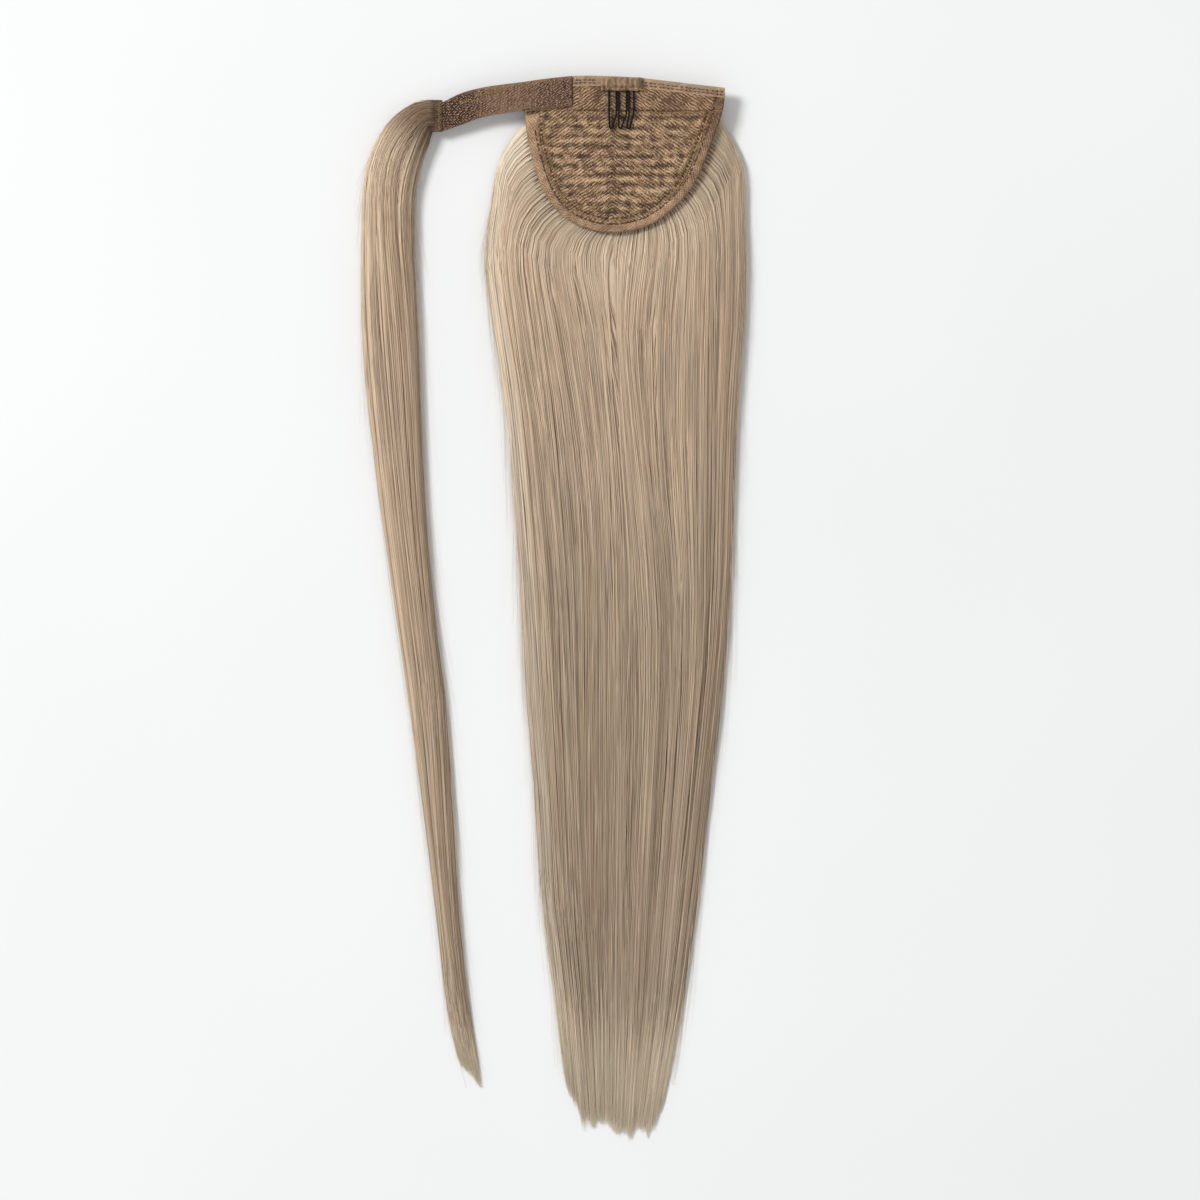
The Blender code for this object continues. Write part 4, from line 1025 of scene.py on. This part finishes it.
def strapTop(x, share):
    return read(strapRows, "top", x) - 0.16 * (1 - ease(np.minimum(share, 1 - share) / 0.07))


def makeStrap():
    rows, columns = 33, 121
    x = np.linspace(strapStyle["left"], strapStyle["right"], columns)[None, :]
    r = np.linspace(0, 1, rows)[:, None]
    upper, lower = read(strapRows, "upper", x), read(strapRows, "lower", x)
    down = upper + (lower - upper) * r
    selvedge = 1 - ease((np.minimum(r, 1 - r) - strapStyle["selvedge"]) / strapStyle["selvedge"])
    weave = 0.1 * cloudNoise(x * 0.5, down * 0.8, 66) * (1 - selvedge)
    top = strapTop(x, r) + weave + 0.08 * selvedge
    tone = 0.5 + 0.42 * np.exp(-((x + 52) / 12) ** 2) - 0.34 * ease((-64 - x) / 12) + 0.25 * selvedge
    tone = tone + 0.2 * cloudNoise(x * 0.4, down * 0.5, 75)
    low = read(strapRows, "top", x) - strapStyle["thickness"]
    strap = clothPiece("strap_tape", x, down, top, low, clothMaterial("hook tape", strapStyle), tone,
                       "hook_tape", "wrap_strap")
    makeHooks()


def makeHooks():
    # short bent bristles in slanting rows over the tape
    rng = np.random.default_rng(8)
    tubes = []
    for i, x in enumerate(np.arange(hooks["left"], hooks["right"], hooks["spacing"])):
        upper, lower = read(strapRows, "upper", x), read(strapRows, "lower", x)
        first = upper + hooks["margin"] + (i % 2) * hooks["row"] / 2
        for down in np.arange(first, lower - hooks["margin"], hooks["row"]):
            atX, atDown = x + rng.normal(0, 0.13), down + rng.normal(0, 0.13)
            floorZ = strapTop(atX, (atDown - upper) / (lower - upper))
            lean = rng.choice([-1, 1]) * hooks["reach"] * rng.uniform(0.7, 1.2)
            dropped = hooks["reach"] * 0.75 * rng.uniform(0.6, 1.3)
            rise = hooks["height"] * rng.uniform(0.8, 1.2)
            points = place(np.array([atX, atX + 0.25 * lean, atX + lean]),
                           np.array([atDown, atDown + 0.2 * dropped, atDown + dropped]),
                           floorZ + np.array([-0.05, rise, rise * 0.7]))
            tubes.append(tubeAlong(points, hooks["wire"] * mm, 3))
    mat = plainMaterial("hooks", (134, 104, 84), (186, 155, 131), 900.0, 0.4, Specular_IOR_Level=0.4)
    return finishPiece(joinTubes("strap_hooks", tubes, mat), "hook_tape")


# comb and its casing
casingStyle = {"left": -6.5, "length": 20.5, "top": 0.9, "depth": 6.5, "puckers": 7, "rise": 2.8,
               "bumpDepth": 0.0002, "tones": ((74, 54, 40), (130, 103, 80), (178, 149, 120)),
               "weave": {"Pitch": 1.4, "Contrast": 0.15, "Speck": 1.3}}
combStyle = {"wire": 0.45, "spine": 0.6, "spineDown": 4.6, "bendDown": 19.0, "endDown": 26.6,
             "endRadius": 0.75,
             # teeth: left wire, right wire and rounded end
             "teeth": ((-2.5, 1.15, -1.4), (2.35, 6.2, 3.1), (7.4, 9.8, 7.3))}


def makeCasing():
    rows, columns = 33, 101
    style = casingStyle
    along = np.linspace(0, 1, columns)[None, :]
    t = np.linspace(0, 1, rows)[:, None]
    x = style["left"] + style["length"] * along
    down = style["top"] + style["depth"] * t + 0.28 * cloudNoise(along * 15, 4.5, 76) * ease((t - 0.8) / 0.2)
    profile = np.interp(t, (0, 0.12, 0.5, 0.88, 1), (0.72, 1, 1, 1, 0.72))
    turns = 2 * np.pi * style["puckers"] * along + 0.9 * cloudNoise(along * 5, t * 2, 77)
    wave = 0.16 * np.cos(turns) * (0.7 + 0.5 * t)
    fine = 0.2 * cloudNoise(along * 24, t * 3, 78)
    endDrop = 1.5 * (1 - ease(np.minimum(along, 1 - along) / 0.1))
    low = base["underside"] + 2.9
    stitched = 0.35 * np.exp(-((t - 0.78) / 0.05) ** 2)
    top = low + style["rise"] * profile + wave + fine - endDrop - stitched
    # tone: painted light on the puckers' crests and painted shade in their hollows and along the stitched dip
    casing = clothPiece("casing_cloth", x, down, top, low, clothMaterial("casing cloth", style),
                        0.5 + 0.9 * (wave + fine) - 0.8 * stitched, "tape", "comb_casing")


def tubeAlong(points, radius, sides):
    # ring vertices and faces of one tube, with its ends closed
    ahead = np.gradient(points, axis=0)
    ahead /= np.linalg.norm(ahead, axis=1, keepdims=True) + 1e-12
    side = np.cross(ahead, np.array([0.0, 0.0, 1.0]))
    side[np.linalg.norm(side, axis=1) < 0.05] = (1.0, 0.0, 0.0)
    side /= np.linalg.norm(side, axis=1, keepdims=True)
    rise = np.cross(side, ahead)
    angle = np.arange(sides) * 2 * np.pi / sides
    radius = np.broadcast_to(radius, len(points))[:, None, None]
    ring = points[:, None] + radius * (np.cos(angle)[None, :, None] * side[:, None]
                                       + np.sin(angle)[None, :, None] * rise[:, None])
    p, c = np.meshgrid(np.arange(len(points) - 1), np.arange(sides), indexing="ij")
    a, b = p * sides + c, p * sides + (c + 1) % sides
    quads = np.stack([a, b, b + sides, a + sides], axis=-1).reshape(-1, 4)
    last = (len(points) - 1) * sides
    fan = np.arange(1, sides - 1)
    capA = np.stack([np.zeros_like(fan), fan + 1, fan], axis=-1)
    capB = np.stack([np.zeros_like(fan), fan, fan + 1], axis=-1) + last
    return ring.reshape(-1, 3), quads, np.concatenate([capA, capB])


def joinTubes(name, tubes, mat):
    points, quads, tris, start = [], [], [], 0
    for ring, four, three in tubes:
        points.append(ring)
        quads.append(four + start)
        tris.append(three + start)
        start += len(ring)
    return buildMesh(name, np.concatenate(points), [np.concatenate(quads), np.concatenate(tris)], mat)


def combHeight(down):
    return base["underside"] + 2.9 + 0.8 - 0.5 * ease((down - 7.4) / 19.2)


def makeComb():
    style = combStyle
    mat = plainMaterial("comb wire", (9, 8, 7), (24, 20, 18), 900.0, 0.5, Specular_IOR_Level=0.12)
    spine = place(np.linspace(-3.4, 10.7, 12), style["spineDown"], combHeight(style["spineDown"]))
    tubes = [tubeAlong(spine, style["spine"] * mm, 10)]
    bend, end = style["bendDown"], style["endRadius"]
    endMiddle = style["endDown"] - style["wire"] - end
    straight = np.linspace(style["spineDown"], bend, 12)
    bow = np.linspace(0, 1, 8)[1:-1]
    angle = np.linspace(0, np.pi, 13)
    for left, right, tip in style["teeth"]:
        # down one side, round the end and back up the other
        x = np.concatenate([np.full(12, left), left + (tip - end - left) * bow, tip - end * np.cos(angle),
                            right + (tip + end - right) * bow[::-1], np.full(12, right)])
        down = np.concatenate([straight, bend + (endMiddle - bend) * bow, endMiddle + end * np.sin(angle),
                               bend + (endMiddle - bend) * bow[::-1], straight[::-1]])
        tubes.append(tubeAlong(place(x, down, combHeight(down)), style["wire"] * mm, 8))
    finishPiece(joinTubes("comb_wires", tubes, mat), "wire", "comb")


# folded weft where the wrap strand starts
weftStyle = {"left": -91.05, "width": 5.4, "top": 11.7, "length": 15.7, "middleUp": 7.4, "half": 2.2,
             "pleat": 1.1, "bumpDepth": 0.0003, "tones": ((52, 38, 28), (98, 77, 59), (150, 122, 96)),
             "weave": {"Pitch": 1.6, "Contrast": 0.2, "Speck": 1.6}}


def makeStrandHead():
    rows, columns = 61, 25
    style = weftStyle
    r = np.linspace(0, 1, rows)[:, None]
    c = np.linspace(0, 1, columns)[None, :]
    down = style["top"] + style["length"] * r
    x = style["left"] + style["width"] * c
    swell = 1 - 0.35 * (1 - ease(np.minimum(r, 1 - r) / 0.25))
    share = np.interp(c, (0, 0.255, 0.745, 1), (0.6, 1, 1, 0.5))
    folds = 2 * np.pi * down / style["pleat"] + 2 * cloudNoise(down * 0.3, 0.5, 79)
    pleat = 0.16 * np.sin(folds) * (1 - c)
    half = style["half"] * swell * share
    # tone: painted light and shade on the pleats, and darker towards the left side
    head = clothPiece("weft_edge", x, down, style["middleUp"] + half + pleat, style["middleUp"] - half,
                      clothMaterial("weft edge", style), 0.5 + 1.4 * pleat - 0.3 * (1 - c), "weft_edge",
                      "strand_head")


# threads
threadTones = {"ochre": ((118, 88, 50), (172, 137, 88), 0.6), "brown": ((50, 35, 25), (86, 64, 46), 0.7),
               "tan": ((150, 122, 90), (190, 160, 124), 0.65), "black": ((18, 15, 13), (40, 34, 29), 0.6)}
knotStyle = {"x": -43.6, "down": 17.6, "up": 12.6, "wide": 1.3, "deep": 1.0, "turn": 14, "points": 26}
# loose fuzz on the hook tape, as x and down
fuzz = [(-76.5, 14.0), (-75.0, 12.5), (-73.6, 12.9), (-71.8, 11.4), (-70.0, 12.1), (-68.6, 9.8), (-66.8, 9.2),
        (-65.0, 10.1), (-63.4, 8.1), (-61.6, 8.8), (-59.8, 6.9), (-57.5, 7.7), (-55.8, 6.4)]


def seam(x, down, up, spacing, length, sideways, radius, rng, jitter=0.15):
    # short stitches along a line, leaning to either side in turn
    at = np.concatenate([[0], np.cumsum(np.hypot(np.diff(x), np.diff(down)))])
    tubes = []
    for i in range(int(at[-1] / spacing)):
        start = (i + 0.3 + rng.normal(0, jitter)) * spacing
        along = start + length * np.array([0.0, 0.25, 0.75, 1.0])
        px, pd, pu = np.interp(along, at, x), np.interp(along, at, down), np.interp(along, at, up)
        dirX, dirDown = px[-1] - px[0], pd[-1] - pd[0]
        long = math.hypot(dirX, dirDown) + 1e-6
        lean = sideways * (1 if i % 2 else -1) * rng.uniform(0.6, 1.3) * np.array([-1.0, -0.5, 0.5, 1.0])
        lift = np.array([-0.15, 0.1, 0.1, -0.15])
        tubes.append(tubeAlong(place(px + lean * dirDown / long, pd - lean * dirX / long, pu + lift),
                               radius * mm, 4))
    return tubes


def loopThread(points, radius):
    grid = np.array(points, dtype=float)
    at = np.linspace(0, len(grid) - 1, len(grid) * 4)
    smooth = [read({"at": np.arange(len(grid), dtype=float), "v": grid[:, k]}, "v", at) for k in range(3)]
    return tubeAlong(place(*smooth), radius * mm, 4)


def rimLine(stopFrom, stopTo, inset):
    # a line at one distance from the rim, on the binding or on the panel inside it
    stop = np.linspace(stopFrom, stopTo, 160)
    x, down = edgePoint(stop, inset)
    fold = read(edgeRows, "fold", stop)
    folded = base["layerTop"] - 0.75 * np.exp(-((fold - inset) / 1.3) ** 2)
    return x, down, baseHeight(x, down) + np.where(inset < fold, folded, base["cloth"] + 0.4) + 0.22


def baseSeams(rng, ochre, brown, tan):
    # the rim's two brown rows and its ochre overlock
    brown += seam(*rimLine(0.5, 10.4, 4.4), 2.3, 1.3, 0.05, 0.28, rng)
    brown += seam(*rimLine(0.5, 10.2, 7.3), 2.4, 1.3, 0.06, 0.28, rng)
    for start, end, inset in ((0.2, 3.6, 5.8), (6.8, 10.7, 5.9), (7.4, 10.6, 8.4), (0.2, 2.2, 8.8)):
        ochre += seam(*rimLine(start, end, inset), 1.15, 1.3, 0.5, 0.18, rng)
    ochre += seam(*rimLine(3.6, 6.8, 5.8), 2.1, 1.4, 0.35, 0.15, rng)
    # two rows on the top binding, left and right of the casing, and a tan thread under them
    for fromEdge in (2.35, 3.85):
        for start, end in ((-20.0, -7.5), (15.0, 54.6)):
            x = np.linspace(start, end, 60)
            down = read(topRows, "down", x) + fromEdge
            brown += seam(x, down, np.full(60, 12.34), 2.2, 0.95, 0.04, 0.24, rng, 0.08)
    x = np.linspace(-20.3, 54.9, 120)
    tan.append(tubeAlong(place(x, read(topRows, "down", x) + 4.95, 12.2), 0.3 * mm, 5))
    # straight ochre seam below the band, at its right
    x = np.linspace(14, 51.5, 80)
    down = 18.1 + 0.5 * cloudNoise(x * 0.3, 1.5, 80)
    ochre += seam(x, down, np.full(80, 12.0), 1.5, 1.6, 0.25, 0.14, rng)
    x = np.linspace(49.5, 54.8, 20)
    ochre += seam(x, np.full(20, 17.4), np.full(20, 12.45), 0.8, 1.6, 0.12, 0.17, rng)
    # bar tack at the binding's right end
    for k in range(5):
        x = np.linspace(49.6, 51.6, 4) + rng.normal(0, 0.2)
        tack = place(x, np.full(4, 7.3 + 0.75 * k), np.array([12.1, 12.45, 12.45, 12.1]))
        ochre.append(tubeAlong(tack, 0.16 * mm, 4))


def strapSeams(rng, ochre, brown):
    # stitched right end, lower edge with a knot, loose fuzz at the left
    down = np.linspace(0.6, 14.2, 40)
    brown += seam(np.full(40, -20.9), down, np.full(40, 12.6), 0.75, 0.9, 0.3, 0.2, rng)
    x = np.linspace(-46.5, -22, 60)
    lowerEdge = read(strapRows, "lower", x)
    brown += seam(x, lowerEdge - 0.35, np.full(60, 12.6), 1.2, 1.0, 0.25, 0.2, rng)
    ochre += seam(x, lowerEdge - 0.1, np.full(60, 12.7), 1.0, 1.2, 0.35, 0.13, rng)
    x = np.linspace(-68, -46.5, 50)
    down, up = read(strapRows, "lower", x) - 1.5, read(strapRows, "top", x) + 0.25
    ochre += seam(x, down, up, 2.1, 1.3, 0.4, 0.1, rng)
    style = knotStyle
    knot = [(style["x"] + style["wide"] * math.cos(a) * (0.5 + 0.08 * a),
             style["down"] + style["deep"] * math.sin(a), style["up"] + 0.25 * (a % 2))
            for a in np.linspace(0, style["turn"], style["points"])]
    brown.append(loopThread(knot, 0.2))
    ochre.append(loopThread([(x + 0.3, down + 0.5, up + 0.1) for x, down, up in knot], 0.13))
    for shift in (0.0, 0.45, -0.4):
        bent = [(x + rng.normal(0, 0.3), down + shift + rng.normal(0, 0.3),
                 read(strapRows, "top", x) + 0.45 + rng.normal(0, 0.08)) for x, down in fuzz]
        ochre.append(loopThread(bent, 0.12))


def weftAndCasingSeams(rng, ochre, brown, tan):
    # wrapped stitches along the weft's fold
    down = np.linspace(12.4, 26.9, 50)
    drop = 0.9 * np.abs(down - 19.6) / 8
    ochre += seam(np.full(50, -87.0), down, 10.1 - drop, 1.3, 1.3, 0.7, 0.15, rng)
    ochre += seam(np.full(50, -88.6), down, 10.2 - drop, 2.6, 1.3, 0.6, 0.13, rng)
    # the casing's hem and the loop at its right end
    x = np.linspace(-6.0, 13.6, 50)
    ochre += seam(x, np.full(50, 6.2), np.full(50, 15.1), 1.3, 1.1, 0.3, 0.15, rng)
    brown += seam(x, np.full(50, 5.3), np.full(50, 15.2), 1.8, 0.9, 0.1, 0.18, rng)
    tan.append(loopThread([(12.6, 6.6, 15.0), (13.8, 7.3, 14.4), (14.9, 6.7, 13.4), (15.4, 7.9, 12.6),
                           (14.2, 8.6, 12.6), (13.0, 7.8, 13.2)], 0.28))


def makeThreads():
    rng = np.random.default_rng(14)
    ochre, brown, tan = [], [], []
    baseSeams(rng, ochre, brown, tan)
    strapSeams(rng, ochre, brown)
    weftAndCasingSeams(rng, ochre, brown, tan)
    bar = place(np.array([13.9, 13.7, 13.5, 13.4]), np.linspace(2.6, 5.6, 4),
                np.array([14.8, 15.3, 15.3, 14.9]))
    for name, tubes, tone in (("ochre_stitches", ochre, "ochre"), ("brown_stitches", brown, "brown"),
                              ("tan_stitches", tan, "tan"),
                              ("casing_thread_bar", [tubeAlong(bar, 0.22 * mm, 6)], "black")):
        low, high, rough = threadTones[tone]
        mat = plainMaterial(tone + " thread", low, high, 1200.0, rough)
        finishPiece(joinTubes(name, tubes, mat), "tape")


# stage, lights, camera
studio = {
    "floorTones": [(0.3, (221, 222, 222)), (0.7, (224, 225, 225))], "floorSize": 12.0, "floorDrop": -0.0004,
    "aim": (0.02, 0.0, 0.0), "worldStrength": 0.59,
    # lamps: place, size and power
    "key": ((-2.62, 1.6, 3.6), 1.3, 176.0), "fill": ((0.9, -0.7, 3.2), 2.4, 8.0),
    "lens": 180.0, "cameraAside": -7.0, "cameraDown": 261.0, "cameraHeight": 3.0,
}


def makeStage():
    mat, tree, shader = newMaterial("pale floor", Roughness=0.85, Specular_IOR_Level=0.1)
    coords = addNode(tree, "ShaderNodeTexCoord").outputs["Object"]
    noise = noiseNode(tree, coords, 3.0, 2.0)["Fac"]
    tree.links.new(rampNode(tree, noise, studio["floorTones"]), shader.inputs["Base Color"])
    bpy.ops.mesh.primitive_plane_add(size=studio["floorSize"], location=(0, 0, studio["floorDrop"]))
    floor = bpy.context.object
    floor.name = "floor"
    floor.data.materials.append(mat)
    floor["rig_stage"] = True


def addLight(name):
    position, size, power = studio[name]
    light = bpy.data.lights.new(name, "AREA")
    light.size, light.energy = size, power
    lamp = bpy.data.objects.new(name, light)
    lamp.location = position
    aim = np.array(studio["aim"]) - np.array(position)
    lamp.rotation_euler = (math.acos(-aim[2] / np.linalg.norm(aim)), 0, math.atan2(-aim[0], aim[1]))
    bpy.context.scene.collection.objects.link(lamp)


def makeLights():
    addLight("key")
    addLight("fill")
    world = bpy.data.worlds.new("studio")
    bpy.context.scene.world = world
    world.use_nodes = True
    background = world.node_tree.nodes["Background"]
    background.inputs["Color"].default_value = (1, 1, 1, 1)
    background.inputs["Strength"].default_value = studio["worldStrength"]
    bpy.context.scene.view_settings.view_transform = "Standard"


def makeCamera():
    cam = bpy.data.cameras.new("camera")
    cam.lens, cam.sensor_width = studio["lens"], 36.0
    cam.clip_end = 20.0
    holder = bpy.data.objects.new("camera", cam)
    holder.location = (datumX + studio["cameraAside"] * mm, datumY - studio["cameraDown"] * mm,
                       studio["cameraHeight"])
    bpy.context.scene.collection.objects.link(holder)
    bpy.context.scene.camera = holder


print("hair")
strandMat, bodyMat = makeHair()
print("wrap strand")
makeWrapStrand(bodyMat)
makeFlyaways(strandMat)
print("cloth")
makePanel()
makeBand()
makeEdgeBinding()
makeTopBinding()
makeStrap()
makeCasing()
makeComb()
makeStrandHead()
makeThreads()
print("stage")
makeStage()
makeLights()
makeCamera()
print("triangles", triCount())
